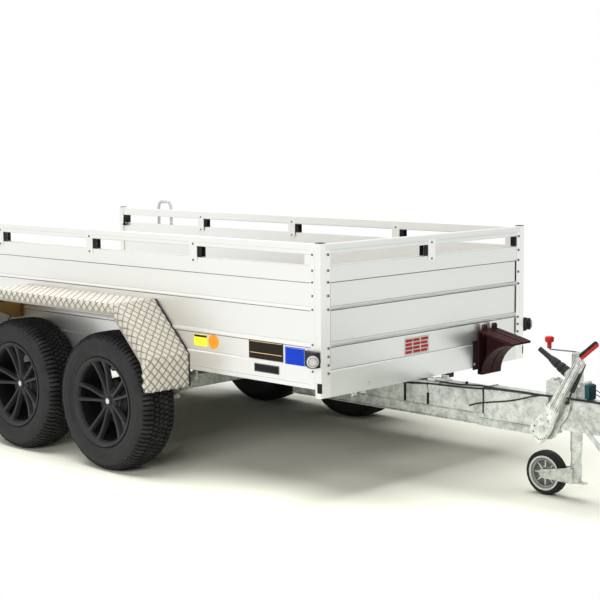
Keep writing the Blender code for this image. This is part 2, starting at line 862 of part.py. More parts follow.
def fender(name, side):
    path = fender_path()
    form = bmesh.new()
    rows = []
    for index in range(len(path)):
        here, inward = inwards(path, index)
        lip = foot_lip if here.y <= fender_foot_height else fender_lip
        row = [
            (0, fender_inner),
            (0, fender_outer - fender_corner),
            (fender_corner / 3, fender_outer - fender_corner / 4),
            (fender_corner, fender_outer),
            (fender_corner + lip, fender_outer),
        ]
        rows.append([])
        for depth, across in row:
            spot = here + inward * depth
            rows[-1].append(form.verts.new(at(tandem_middle + spot.x, side * across, spot.y)))
    for first, second in zip(rows, rows[1:]):
        for column in range(len(first) - 1):
            form.faces.new((first[column], first[column + 1], second[column + 1], second[column]))
    bmesh.ops.recalc_face_normals(form, faces=form.faces)
    mesh = bpy.data.meshes.new(name)
    form.to_mesh(mesh)
    form.free()
    piece = shown(name, mesh, Matrix.Identity(4), chequer)
    sheet = piece.modifiers.new("sheet", "SOLIDIFY")
    sheet.thickness = fender_sheet
    sheet.offset = 0
    piece = settled(piece)
    wall_face = half_width + half_wall + gap
    stays = []
    for x in top_stays:
        sides = sorted((side * wall_face, side * (fender_outer - 0.020)))
        low = (tandem_middle + x - stay_width / 2, sides[0], fender_top - stay_depth)
        high = (tandem_middle + x + stay_width / 2, sides[1], fender_top)
        stays.append(block("stay", low, high, galvanised))
    stay_middle = (fender_knee_height + fender_foot_height) / 2 + 0.022
    for end in (-1, 1):
        sides = sorted((side * (wall_face + sill_out), side * (fender_inner + stay_width)))
        stations = sorted(tandem_middle + end * (fender_knee + out) for out in (-0.006, 0.001))
        low = (stations[0], sides[0], stay_middle - end_stay_height / 2)
        high = (stations[1], sides[1], stay_middle + end_stay_height / 2)
        stays.append(block("stay", low, high, galvanised))
    return united(piece, *stays)


fender("fender_right", -1)
fender("fender_left", 1)


# Front position lamps on the side walls: a wedge of rubber and a round lens that looks forwards
front_lamp_bottom = 0.695
front_lamp_height = 0.075
front_lamp_rear = -0.089
front_lamp_front = 0.016
front_lamp_depth = 0.040
lens_radius = 0.032
lens_rim = 0.028
lens_reach = 0.012
lamp_seat = half_width + half_post + gap
lamp_outline = [(front_lamp_rear, lamp_seat)]
lamp_outline += [(0.45 * front_lamp_rear, lamp_seat + 0.65 * front_lamp_depth)]
lamp_outline += [(0.0, lamp_seat + front_lamp_depth), (front_lamp_front, lamp_seat + front_lamp_depth)]
lamp_outline += [(front_lamp_front, lamp_seat)]
lamp_levels = (front_lamp_bottom, front_lamp_bottom + front_lamp_height)
lamp = plate("lamp_front_left", lamp_outline, "xy", lamp_levels[0], lamp_levels[1], rubber)
lens_y = lamp_seat + lens_radius + 0.004
lens_z = sum(lamp_levels) / 2
lens_start = (front_lamp_front - 0.010, lens_y, lens_z)
lens_end = (front_lamp_front + lens_reach, lens_y, lens_z)
lens = rod("lens", lens_start, lens_end, lens_radius, rubber, 24, lens_rim)
lamp = smoothed(united(lamp, lens))
mirrored(lamp, "lamp_front_right")


# Two wheel chocks side by side on the front wall, open at their right sides
chock_count_names = ("chock_right", "chock_left")
chock_from_side = 0.413
chock_start = half_width - chock_from_side
chock_width = 0.081
chock_gap = 0.010
chock_top = 0.745
chock_bottom = 0.503
chock_reach = 0.229
chock_fall = 0.052
chock_tip = 0.012
chock_root = 0.032
chock_wall = 0.007
chock_turns = 9
ear_radius = 0.012
ear_rise = 0.020
ear_width = 0.022
holder_sheet = 0.0034
holder_bottom = 0.530
holder_top = 0.690
holder_overhang = 0.040
chock_back = half_wall + sill_out + holder_sheet + 3 * gap


def tread_curve(grown):
    """The hollow tread from the tip down to the root, moved into the chock by the growth."""
    across = chock_reach - chock_root + grown
    up = chock_top - chock_fall - chock_tip - chock_bottom + grown
    points = []
    for step in range(chock_turns + 1):
        angle = math.pi / 2 * step / chock_turns
        x = chock_back + chock_reach - across * math.sin(angle)
        points.append((x, chock_bottom + up * math.cos(angle)))
    return points


def chock_cavity():
    """The open space between the back, the top plate and the tread."""
    slope = chock_fall / chock_reach
    back = chock_back + chock_wall
    floor = chock_bottom + chock_wall
    cavity = [(back, chock_top - slope * chock_wall - chock_wall)]
    for x, z in tread_curve(chock_wall):
        if floor < z < chock_top - slope * (x - chock_back) - 1.5 * chock_wall:
            cavity.append((x, z))
    cavity += [(chock_back + chock_root - chock_wall, floor), (back, floor)]
    return cavity


def chock(name, start):
    outline = [(chock_back, chock_bottom), (chock_back, chock_top)]
    outline.append((chock_back + chock_reach, chock_top - chock_fall))
    outline += tread_curve(0)
    body = plate(name, outline, "xz", start, start + chock_width, maroon_plastic)
    pocket_far = start + chock_width - chock_wall
    pocket = plate("pocket", chock_cavity(), "xz", start - cut_past, pocket_far, maroon_plastic)
    ear_x = chock_back + ear_radius + 0.002
    ear_z = chock_top + ear_rise
    ear_outline = arc((ear_x, ear_z), ear_radius, 0, 180, 6)
    ear_outline += [(ear_x - ear_radius, chock_top - chock_wall), (ear_x + ear_radius, chock_top - chock_wall)]
    middle = start + chock_width / 2
    ear = plate("ear", ear_outline, "xz", middle - ear_width / 2, middle + ear_width / 2, maroon_plastic)
    return united(carved(body, pocket), ear)


for number, name in enumerate(chock_count_names):
    chock(name, chock_start + number * (chock_width + chock_gap))
holder_back = half_wall + sill_out + gap
holder_end = chock_start + len(chock_count_names) * (chock_width + chock_gap)
holder_low = (holder_back, chock_start - holder_overhang, holder_bottom)
holder_high = (holder_back + holder_sheet, holder_end + 0.010, holder_top)
block("chock_holder", holder_low, holder_high, black_metal)


# Drawbar beam with a recessed band along its lower edge
band_slope = band_depth
beam_half_section = [
    (beam_half_width, beam_bottom),
    (beam_half_width, beam_bottom + 0.005),
    (beam_half_width - band_depth, beam_bottom + band_slope),
    (beam_half_width - band_depth, band_top - band_slope),
    (beam_half_width, band_top),
    (beam_half_width, beam_top),
]
beam_section = beam_half_section + [(-y, z) for y, z in reversed(beam_half_section)]
plate("drawbar_beam", beam_section, "yz", beam_rear, housing_rear - gap, galvanised)


# Overrun housing: folded sheet over the beam's end, a core, and the box that guides the draw tube
housing_half = beam_half_width + 0.006
housing_bottom = beam_bottom + 0.025
housing_top = beam_top + 0.008
housing_rounding = 0.006
flange_half = housing_half + 0.005
core_half = 0.044
core_top = beam_top - 0.030
lap = 0.020
box_rounding = 0.008
cover_rear = 0.771
cover_length = 0.080
cover_half = 0.040
cover_top = 0.620
boss_radius = 0.012
boss_root = 0.040
quadrant_thickness = 0.006
foot_radius = 0.060
horn_radius = 0.138
horn_half = 0.011
holder_radius = 0.024
holder_length = 0.034
plug_foot = Vector((0.868, 0.0, 0.662))
plug_direction = Vector((-0.178, 0.0, 0.110)).normalized()
stand_half = 0.018
stand_rear = 0.884
stand_front = 0.896
strap_top = (0.999, 0.414)
strap_end = (1.096, 0.322)
strap_half = 0.012
strap_sheet = 0.004
bracket_rear = 0.938
bracket_front = 0.986
bracket_half = 0.034
bracket_top = 0.606
unit_length = 0.016
unit_rise = 0.012
unit_fins = 5

housing = block(
    "overrun_housing",
    (housing_rear, -housing_half, housing_bottom),
    (housing_front, housing_half, housing_top),
    galvanised,
    housing_rounding,
)
flange_low = (housing_rear, -flange_half, beam_bottom)
flange_high = (housing_front, flange_half, housing_bottom + 0.005)
flange = block("flange", flange_low, flange_high, galvanised)
core_low = (housing_front - lap, -core_half, box_bottom)
core = block("core", core_low, (box_rear + lap, core_half, core_top), galvanised)
guide_low = (box_rear, -box_half_width, box_bottom)
guide = block("guide", guide_low, (box_front, box_half_width, box_top), galvanised, box_rounding)
cover_high = (cover_rear + cover_length, cover_half, cover_top)
cover = block("cover", (cover_rear, -cover_half, beam_top), cover_high, galvanised, 0.008)
pivot_boss = rod(
    "pivot_boss",
    (lever_pivot[0], -boss_root, lever_pivot[1]),
    (lever_pivot[0], lever_near + lever_sheet + gap, lever_pivot[1]),
    boss_radius,
    galvanised,
)


def quadrant_outline():
    """Stamped bracket: a foot round the pivot and a horn that curves up to the strut's eye."""
    bow = (strut_eye[0] - horn_radius, strut_eye[1])
    foot = arc(lever_pivot, foot_radius, 225, 315, 4)
    outer = arc(bow, horn_radius + horn_half, -50, 7, 5)
    inner = arc(bow, horn_radius - horn_half, 7, -90, 6)
    return foot[-1:] + outer + inner + foot[:-1]


quadrant_far = quadrant_near + quadrant_thickness
quadrant = plate("quadrant", quadrant_outline(), "xz", quadrant_near, quadrant_far, galvanised)
holder_foot = plug_foot - plug_direction * holder_length
holder = rod("holder", holder_foot, plug_foot - plug_direction * gap, holder_radius, galvanised)
strap_along = (Vector(strap_end) - Vector(strap_top)).normalized()
strap_across = Vector((strap_along.y, -strap_along.x)) * strap_half
strap_outline = [Vector(strap_top) + strap_across, Vector(strap_end) + strap_across]
strap_outline += [Vector(strap_end) - strap_across, Vector(strap_top) - strap_across]
strap = plate("strap", strap_outline, "xz", -box_half_width - strap_sheet, -box_half_width + 0.002, galvanised)
bracket = block(
    "bracket",
    (bracket_rear, -bracket_half, box_top - weld_depth),
    (bracket_front, bracket_half, bracket_top),
    galvanised,
    0.004,
)
stand_low = (stand_rear, -stand_half, box_top - weld_depth)
stand = block("stand", stand_low, (stand_front, stand_half, plug_foot.z - stand_half), galvanised)
united(housing, flange, core, guide, cover, pivot_boss, quadrant, holder, stand, strap, bracket)

unit_start = bracket_front + gap
unit_low = (unit_start, -bracket_half, box_top + gap)
unit_high = (unit_start + unit_length, bracket_half, bracket_top + unit_rise)
unit = block("ribbed_unit", unit_low, unit_high, rubber, 0.003)
fin_step = 2 * bracket_half / unit_fins
fin_slots = []
for number in range(1, unit_fins):
    slot_middle = -bracket_half + number * fin_step
    slot_low = (unit_start + 0.3 * unit_length, slot_middle - 0.003, box_top + 0.012)
    slot_high = (unit_start + unit_length + cut_past, slot_middle + 0.003, bracket_top + cut_past + unit_rise)
    fin_slots.append(block("fin_slot", slot_low, slot_high, rubber))
carved(unit, *fin_slots)


# Draw tube in its rubber boot, and the coupling head
boot_length = 0.085
boot_radius = 0.036
boot_waist = 0.030
boot_ribs = 4
boot_profile = [(0, 0.0)]
for rib in range(boot_ribs):
    start = boot_length * rib / boot_ribs
    boot_profile += [(boot_waist, start), (boot_radius, start + boot_length / boot_ribs / 2)]
boot_profile += [(boot_waist, boot_length), (0, boot_length)]
boot_centre = (box_front + gap, 0, coupling_height)
turned("draw_tube_boot", boot_profile, boot_centre, (1, 0, 0), rubber, 20)

neck_half = 0.034
cheek_half = 0.044
neck_taper = 0.0044
cheek_length = 0.065
ball_from_nose = 0.070
ball_radius = 0.0255
head_below = 0.034
head_above = 0.040
socket_above = 0.010
nose_rounding = 0.030
head_start = box_front + boot_length + 2 * gap
ball_x = nose - ball_from_nose
cheek_start = ball_x - 0.040
cheek_end = cheek_start + cheek_length
head_side = [(head_start, neck_half), (cheek_start - neck_taper, neck_half)]
head_side += [(cheek_start, cheek_half), (cheek_end, cheek_half)]
head_side += arc((nose - nose_rounding, 0), nose_rounding, 70, 10, 3)
head_outline = head_side + [(x, -y) for x, y in reversed(head_side)]
head_bottom = coupling_height - head_below
head_top = coupling_height + head_above
head = plate("coupling_head", head_outline, "xy", head_bottom, head_top, galvanised)
socket_low = (ball_x, 0, head_bottom - cut_past)
socket = rod("socket", socket_low, (ball_x, 0, coupling_height + socket_above), ball_radius, galvanised, 24)
carved(head, socket)

handle_half = 0.018
handle_foot = head_top + gap
handle_outline = [(nose - 0.180, handle_foot), (nose - 0.085, handle_foot), (nose - 0.035, head_top + 0.030)]
handle_outline += [(nose - 0.030, head_top + 0.040), (nose - 0.045, head_top + 0.044)]
handle_outline += [(nose - 0.100, head_top + 0.024), (nose - 0.168, head_top + 0.034)]
handle_outline += [(nose - 0.250, head_top + 0.050), (nose - 0.254, head_top + 0.040)]
plate("coupling_handle", handle_outline, "xz", -handle_half, handle_half, black_metal)


# Jockey wheel: clamped outer tube, leg, fork and wheel
leg_clearance = 0.0006
tube_head = 0.030
clamp_half = 0.030
clamp_bottom = 0.410
clamp_top = 0.520
bore_radius = jockey_leg_radius + leg_clearance
tube_section = [(jockey_tube_radius, jockey_top), (jockey_tube_radius, jockey_tube_bottom)]
tube_section += [(bore_radius, jockey_tube_bottom), (bore_radius, jockey_top - tube_head)]
tube_section += [(0, jockey_top - tube_head), (0, jockey_top)]
outer_tube = turned("jockey_tube", tube_section, (jockey_x, jockey_y, 0), (0, 0, 1), galvanised, 24, True)
clamp = block(
    "clamp",
    (jockey_x - clamp_half, box_half_width + gap, clamp_bottom),
    (jockey_x + clamp_half, jockey_y - jockey_tube_radius + 0.2 * jockey_tube_radius, clamp_top),
    galvanised,
)
cutter_low = (jockey_x, jockey_y, clamp_bottom - cut_past)
cutter_high = (jockey_x, jockey_y, clamp_top + cut_past)
clamp_cutter = rod("bore", cutter_low, cutter_high, jockey_tube_radius - 0.002, galvanised)
clamp = carved(clamp, clamp_cutter)
smoothed(united(outer_tube, clamp))

crank_lift = 0.012
crank_half = 0.010
crank_reach = 0.157
knob_radius = 0.019
knob_height = 0.058
crank_height = jockey_top + crank_lift
crank_low = (jockey_x, jockey_y, jockey_top + gap)
crank_high = (jockey_x, jockey_y, crank_height + crank_half)
crank = rod("jockey_crank", crank_low, crank_high, crank_half, galvanised)
crank_arm = block(
    "arm",
    (jockey_x - crank_reach - 0.008, jockey_y - crank_half, crank_height - 0.004),
    (jockey_x + 0.006, jockey_y + crank_half, crank_height + 0.002),
    galvanised,
)
knob_profile = [(0, knob_height), (0.85 * knob_radius, knob_height), (knob_radius, 0.86 * knob_height)]
knob_profile += [(knob_radius, 0.59 * knob_height), (0.58 * knob_radius, 0.38 * knob_height)]
knob_profile += [(0.53 * knob_radius, 0), (0, 0)]
knob_centre = (jockey_x - crank_reach, jockey_y, crank_height)
knob = turned("knob", knob_profile, knob_centre, (0, 0, 1), red_plastic, 20)
smoothed(united(crank, crank_arm, knob))

leg_top = 0.600
leg_low = (jockey_x, jockey_y, jockey_collar_top + gap)
leg = rod("jockey_leg", leg_low, (jockey_x, jockey_y, leg_top), jockey_leg_radius, galvanised)
on_joint(smoothed(leg), "jockey_leg_pivot", (jockey_x, jockey_y, jockey_tube_bottom))

collar_radius = 0.029
fork_bottom = 0.088
fork_top = 0.160
fork_sheet = 0.004
fork_end_radius = 0.022
axle_clearance = 0.006
pin_radius = 0.006
toe_half = 0.018
toe_length = 0.058
collar_low = (jockey_x, jockey_y, fork_bottom)
collar_high = (jockey_x, jockey_y, jockey_collar_top)
collar = rod("jockey_fork", collar_low, collar_high, collar_radius, galvanised)
arm_gap = jockey_width / 2 + axle_clearance
hub_x = jockey_x - jockey_trail
arm_outline = arc((hub_x, jockey_radius), fork_end_radius, 90, 270, 8)
arm_outline += [(jockey_x - 0.010, fork_bottom), (jockey_x + 0.005, fork_top + 0.005), (jockey_x - 0.040, fork_top)]
fork_arms = []
for side in (-1, 1):
    sides = sorted((jockey_y + side * arm_gap, jockey_y + side * (arm_gap + fork_sheet)))
    fork_arms.append(plate("arm", arm_outline, "xz", sides[0], sides[1], galvanised))
bridge_low = (jockey_x - 0.042, jockey_y - arm_gap - fork_sheet, fork_bottom)
bridge_high = (jockey_x + 0.004, jockey_y + arm_gap + fork_sheet, fork_top)
bridge = block("bridge", bridge_low, bridge_high, galvanised)
toe = block(
    "toe",
    (jockey_x, jockey_y - toe_half, fork_bottom),
    (jockey_x + toe_length, jockey_y + toe_half, fork_bottom + 0.006),
    galvanised,
)
pin_low = (hub_x, jockey_y - arm_gap - fork_sheet / 2, jockey_radius)
pin_high = (hub_x, jockey_y + arm_gap + fork_sheet / 2, jockey_radius)
pin = rod("pin", pin_low, pin_high, pin_radius, galvanised)
fork = smoothed(united(collar, *fork_arms, bridge, toe, pin))
on_joint(fork, "jockey_fork_pivot", (jockey_x, jockey_y, jockey_collar_top))

jockey_rim_radius = 0.078
jockey_shoulder = 0.014
half_jockey = jockey_width / 2
jockey_steps = 26
hub_centre = (hub_x, jockey_y, jockey_radius)
tyre_half = [
    (jockey_rim_radius, half_jockey - 0.006),
    (jockey_rim_radius + 0.012, half_jockey),
    (jockey_radius - 0.010, half_jockey),
    (jockey_radius, half_jockey - jockey_shoulder),
]
tyre_loop = tyre_half + [(radius, -across) for radius, across in reversed(tyre_half)]
jockey_tyre = turned("jockey_tyre", tyre_loop, hub_centre, (0, 1, 0), tyre_rubber, jockey_steps, True)
on_joint(smoothed(jockey_tyre), "jockey_wheel_pivot", hub_centre)
rim_edge = jockey_rim_radius - gap
hub_half = arm_gap - gap
hub_radius = 0.018
pin_bore = pin_radius + leg_clearance
rim_loop = [
    (pin_bore, hub_half),
    (hub_radius, hub_half),
    (hub_radius + 0.008, 0.010),
    (rim_edge - 0.018, 0.006),
    (rim_edge - 0.012, 0.022),
    (rim_edge, 0.022),
]
rim_loop += [(radius, -across) for radius, across in reversed(rim_loop)]
jockey_rim = turned("jockey_rim", rim_loop, hub_centre, (0, 1, 0), galvanised, jockey_steps, True)
on_joint(smoothed(jockey_rim), "jockey_wheel_pivot", hub_centre)


# Hand brake lever with its grip and gas strut
lever_along = (Vector(lever_aim) - Vector(lever_pivot)).normalized()
lever_across = Vector((lever_along.y, -lever_along.x))
lever_length = 0.412
lever_tip = (-0.082, 0.018)
lug_sheet = 0.004
grip_radius = 0.016
grip_start = 0.0072
tang_radius = 0.009
# Side view of the lever from its tip round: distance along from the pivot, and across
lever_shape = (
    lever_tip,
    (-0.060, 0.032),
    (0.000, 0.040),
    (0.074, 0.034),
    (0.140, 0.025),
    (lever_length, 0.026),
    (lever_length, -0.009),
    (0.120, -0.031),
    (0.050, -0.046),
    (-0.020, -0.060),
    (-0.044, -0.060),
    (-0.070, -0.012),
)
lug_shape = ((0.350, -0.013), (0.406, -0.008), (0.406, 0.032), (0.350, 0.032))


def on_lever(along, across):
    """A point of the lever's side view, measured from its pivot."""
    place = Vector(lever_pivot) + lever_along * along + lever_across * across
    return (place.x, place.y)


def shrunk(outline, sheet):
    """The outline with each edge moved in by the thickness of the sheet."""
    total = sum(a[0] * b[1] - b[0] * a[1] for a, b in zip(outline, outline[1:] + outline[:1]))
    hand = 1 if total > 0 else -1
    moved = []
    for number, here in enumerate(outline):
        entering = (Vector(here) - Vector(outline[number - 1])).normalized()
        leaving = (Vector(outline[(number + 1) % len(outline)]) - Vector(here)).normalized()
        inward = Vector((-entering.y - leaving.y, entering.x + leaving.x)) * hand
        spot = Vector(here) + inward * (2 * sheet / inward.length_squared)
        moved.append((spot.x, spot.y))
    return moved


lever_outline = [on_lever(along, across) for along, across in lever_shape]
lever = plate("brake_lever", lever_outline, "xz", lever_near, lever_far, galvanised)
pocket_near = lever_near + lever_sheet
pocket_outline = shrunk(lever_outline, lever_sheet)
pocket = plate("pocket", pocket_outline, "xz", pocket_near, lever_far + cut_past, galvanised)
lever = carved(lever, pocket)
lug_outline = [on_lever(along, across) for along, across in lug_shape]
lug_plate = plate("lug_plate", lug_outline, "xz", lever_far - lug_sheet, lever_far, galvanised)
grip_middle = (lever_near + lever_far) / 2
grip_along = Vector((grip_aim[0], 0, grip_aim[1])).normalized()
lever_end = on_lever(lever_length, (lever_shape[5][1] + lever_shape[6][1]) / 2)
lever_end = Vector((lever_end[0], grip_middle, lever_end[1]))
tang_root = lever_end - grip_along * tang_radius
tang = rod("tang", tang_root, lever_end + grip_along * grip_start, tang_radius, galvanised)
lever = united(lever, lug_plate, tang)
on_joint(lever, "brake_lever_pivot", (lever_pivot[0], (lever_near + lever_far) / 2, lever_pivot[1]))

grip_low = lever_end + grip_along * (grip_start + gap)
grip_high = lever_end + grip_along * (grip_start + grip_length)
grip = rod("brake_grip", grip_low, grip_high, grip_radius, red_plastic, 20)
on_joint(smoothed(grip), "brake_lever_pivot", (0, 0, 0))

strut_vector = Vector((strut_eye[0] - strut_lug[0], strut_eye[1] - strut_lug[1]))
strut_length = strut_vector.length
strut_down = strut_vector.normalized()
cylinder_length = 0.142
cylinder_radius = 0.0125
cylinder_bore_start = 0.040
rod_start = 0.060
rod_radius = 0.0045
rod_clearance = 0.001
upper_pin_radius = 0.006
eye_radius = 0.009
eye_half = 0.005


def on_strut(along):
    place = Vector(strut_lug) + strut_down * along
    return (place.x, strut_plane, place.y)


cylinder_low = on_strut(-0.012)
cylinder = rod("strut_cylinder", cylinder_low, on_strut(cylinder_length), cylinder_radius, black_metal, 20)
bore_high = on_strut(cylinder_length + cut_past)
cylinder_bore = rod("bore", on_strut(cylinder_bore_start), bore_high, rod_radius + rod_clearance, black_metal)
upper_pin = rod(
    "upper_pin",
    (strut_lug[0], strut_plane, strut_lug[1]),
    (strut_lug[0], lever_far + gap, strut_lug[1]),
    upper_pin_radius,
    galvanised,
)
cylinder = smoothed(united(carved(cylinder, cylinder_bore), upper_pin))
on_joint(cylinder, "strut_cylinder_pivot", (strut_lug[0], strut_plane, strut_lug[1]))
strut_rod = rod("strut_rod", on_strut(rod_start), on_strut(strut_length - 0.004), rod_radius, galvanised)
eye_middle = on_strut(strut_length)
eye_near = (eye_middle[0], strut_plane - eye_half, eye_middle[2])
eye_far = (eye_middle[0], quadrant_near - gap, eye_middle[2])
eye = rod("eye", eye_near, eye_far, eye_radius, galvanised)
strut_rod = smoothed(united(strut_rod, eye))
on_joint(strut_rod, "strut_rod_pivot", (strut_lug[0], strut_plane, strut_lug[1]))


# Light cable along the drawbar, and the parked plug with its ribbed boot
cable_radius = 0.0045
cable_y = -0.0455
beam_cable = beam_top + cable_radius + gap
housing_cable = housing_top + cable_radius + gap
box_cable = box_top + cable_radius + gap
cable_points = (
    (-0.050, beam_cable),
    (0.100, beam_cable),
    (0.250, beam_cable),
    (0.380, housing_cable + 0.002),
    (0.480, housing_cable),
    (0.700, housing_cable),
    (0.820, housing_cable),
    (0.900, box_cable),
    (1.000, box_cable),
    (1.110, box_cable),
)
cable_route = [(x, cable_y, z) for x, z in cable_points]
tube("light_cable", cable_route, cable_radius, rubber, False, 2)

plug_radius = 0.026
plug_length = 0.190
plug_profile = [(0, 0.0), (plug_radius, 0.0), (plug_radius, 0.020), (0.022, 0.026), (plug_radius, 0.034)]
plug_profile += [(0.024, 0.050), (0.019, 0.058), (0.023, 0.066), (0.020, 0.090), (0.014, 0.120)]
plug_profile += [(0.012, plug_length), (0, plug_length)]
plug = turned("parked_plug", plug_profile[::-1], plug_foot, plug_direction, rubber, 20)
smoothed(plug)
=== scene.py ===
"""Finishes, fittings and studio for the tandem drop-side trailer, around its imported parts."""

import math

import bmesh
import bpy
from bpy.props import FloatProperty, FloatVectorProperty, IntProperty, PointerProperty
from mathutils import Matrix, Vector


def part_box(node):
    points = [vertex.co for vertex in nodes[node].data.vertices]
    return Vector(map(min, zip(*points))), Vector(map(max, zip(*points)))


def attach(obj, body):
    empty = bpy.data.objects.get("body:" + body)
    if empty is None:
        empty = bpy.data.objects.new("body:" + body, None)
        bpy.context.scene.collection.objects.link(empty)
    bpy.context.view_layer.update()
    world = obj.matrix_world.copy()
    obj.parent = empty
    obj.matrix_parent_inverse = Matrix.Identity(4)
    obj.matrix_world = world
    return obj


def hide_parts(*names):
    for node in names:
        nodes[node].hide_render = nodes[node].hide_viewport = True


bl_info = {
    "name": "Drop-side trailer dressing",
    "version": (1, 0, 0),
    "blender": (4, 5, 0),
    "location": "3D View > Sidebar > Trailer",
    "description": "Adds the finishes, fittings and studio of a tandem drop-side trailer",
    "category": "Object",
}

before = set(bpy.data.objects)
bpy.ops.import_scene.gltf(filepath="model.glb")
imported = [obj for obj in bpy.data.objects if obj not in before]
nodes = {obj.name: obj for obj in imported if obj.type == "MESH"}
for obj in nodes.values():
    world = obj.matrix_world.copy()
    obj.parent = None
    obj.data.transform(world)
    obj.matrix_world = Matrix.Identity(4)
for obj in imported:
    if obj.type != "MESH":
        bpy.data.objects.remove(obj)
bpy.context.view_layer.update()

bed = "trailer"
sides = {"right": -1, "left": 1}


def colour(name, description, default):
    return FloatVectorProperty(
        name=name, description=description, default=default, subtype="COLOR", size=3, min=0, max=1
    )


def size(name, description, default):
    return FloatProperty(name=name, description=description, default=default, unit="LENGTH", precision=4)


class TrailerColours(bpy.types.PropertyGroup):
    """Colours of the trailer, as they look in plain light."""

    alloy: colour("Alloy", "Anodised profiles of the load bed", (0.90, 0.90, 0.87))
    steel: colour("Steel", "Hot dip galvanised steel", (0.66, 0.69, 0.65))
    chequer: colour("Chequer plate", "Fender plate", (0.38, 0.36, 0.31))
    rubber: colour("Rubber", "Tyres", (0.011, 0.011, 0.0115))
    black: colour("Black", "Rims and painted fittings", (0.020, 0.020, 0.022))
    chocks: colour("Chocks", "Moulded wheel chocks", (0.040, 0.014, 0.015))
    signal: colour("Red", "Knob and grip", (0.42, 0.018, 0.014))
    board: colour("Board", "Film faced plywood", (0.150, 0.135, 0.120))


class TrailerSizes(bpy.types.PropertyGroup):
    """Sizes of the details that the scene adds."""

    tread_depth: size("Tread depth", "Depth of the grooves between the tread blocks", 0.009)
    tread_pitches: IntProperty(
        name="Tread pitches", description="Times that the tread pattern repeats", default=44, min=24, max=90
    )
    bar_pitch: size("Cell size", "Side of one cell of five bars of the chequer plate", 0.037)
    bar_length: size("Bar length", "Length of one bar of the chequer plate", 0.0345)
    tie_width: size("Tie width", "Width of a cable tie", 0.0076)


def mixed(first, second, share):
    """The colour between two colours."""
    return tuple(a + (b - a) * share for a, b in zip(first, second))


class Signal:
    """A shader socket that takes part in arithmetic."""

    def __init__(self, finish, socket):
        self.finish = finish
        self.socket = socket

    def maths(self, operation, first, second=0.0):
        return self.finish.node("ShaderNodeMath", {"operation": operation}, {0: first, 1: second})

    def __add__(self, other):
        return self.maths("ADD", self, other)

    def __radd__(self, other):
        return self.maths("ADD", other, self)

    def __sub__(self, other):
        return self.maths("SUBTRACT", self, other)

    def __rsub__(self, other):
        return self.maths("SUBTRACT", other, self)

    def __mul__(self, other):
        return self.maths("MULTIPLY", self, other)

    def __rmul__(self, other):
        return self.maths("MULTIPLY", other, self)

    def above(self, other):
        """The larger of the two values."""
        return self.maths("MAXIMUM", self, other)

    def zigzag(self, top):
        """Rises to a top value and falls back to 0, over and over."""
        return self.maths("PINGPONG", self, top)

    def rising(self, start, end):
        """0 up to the start, 1 from the end on, and a smooth rise between them."""
        settings = {"interpolation_type": "SMOOTHSTEP", "clamp": True}
        return self.finish.node("ShaderNodeMapRange", settings, {0: self, 1: start, 2: end, 3: 0.0, 4: 1.0})


class Finish:
    """One material: a principled shader and the nodes that feed it."""

    def __init__(self, name, base=(0.8, 0.8, 0.8), roughness=0.5, **constants):
        self.material = bpy.data.materials.new(name)
        self.material.use_nodes = True
        self.tree = self.material.node_tree
        self.shader = next(node for node in self.tree.nodes if node.type == "BSDF_PRINCIPLED")
        self.base = base
        self.feed("Base Color", (*base, 1.0))
        self.feed("Roughness", roughness)
        for words, value in constants.items():
            self.feed(words.replace("_", " ").title().replace("Ior", "IOR"), value)

    def feed(self, name, value, node=None):
        """Sets a socket of the shader, or of another node, to a value or links a signal to it."""
        node = node or self.shader
        if isinstance(name, int):
            socket = node.inputs[name]
        else:
            found = (item for item in node.inputs if name in (item.identifier, item.name) and item.enabled)
            socket = next(found)
        if isinstance(value, Signal):
            self.tree.links.new(value.socket, socket)
        else:
            socket.default_value = value

    def node(self, kind, settings, sockets, output=0):
        """Adds a node with its settings first and then its sockets, and gives one of its outputs."""
        added = self.tree.nodes.new(kind)
        for name, value in settings.items():
            setattr(added, name, value)
        for name, value in sockets.items():
            self.feed(name, value, added)
        if isinstance(output, int):
            return Signal(self, added.outputs[output])
        return Signal(self, next(item for item in added.outputs if output in (item.identifier, item.name)))

    def place(self, scale=(1, 1, 1)):
        """Place on the object in metres, stretched by a scale."""
        where = self.node("ShaderNodeTexCoord", {}, {}, "Object")
        return self.node("ShaderNodeMapping", {}, {"Vector": where, "Scale": scale})

    def axis(self, number):
        """One coordinate on the object, in metres."""
        return self.node("ShaderNodeSeparateXYZ", {}, {0: self.place()}, number)

    def noise(self, scale, detail=3.0, roughness=0.5, stretch=(1, 1, 1)):
        sockets = {"Vector": self.place(stretch), "Scale": scale, "Detail": detail, "Roughness": roughness}
        return self.node("ShaderNodeTexNoise", {}, sockets)

    def cells(self, scale):
        """A colour of its own for each crystal."""
        sockets = {"Vector": self.place(), "Scale": scale}
        return self.node("ShaderNodeTexVoronoi", {"feature": "F1"}, sockets, "Color")

    def blend(self, share, first, second):
        """A colour between two colours."""
        sockets = {"Factor_Float": share, "A_Color": self.solid(first), "B_Color": self.solid(second)}
        return self.node("ShaderNodeMix", {"data_type": "RGBA"}, sockets, "Result_Color")

    @staticmethod
    def solid(value):
        return (*value, 1.0) if isinstance(value, tuple) else value

    def relief(self, height, depth, strength):
        """Bump of a depth in metres."""
        sockets = {"Height": height, "Distance": depth, "Strength": strength}
        return self.node("ShaderNodeBump", {}, sockets, "Normal")


def tone(finish, amount, share, dark=0.82, light=1.06):
    """Colour of a finish that wanders between a darker and a lighter tone."""
    low = tuple(min(1.0, value * dark) for value in finish.base)
    high = tuple(min(1.0, value * light) for value in finish.base)
    return finish.blend(share * amount + (1 - amount) * 0.5, low, high)


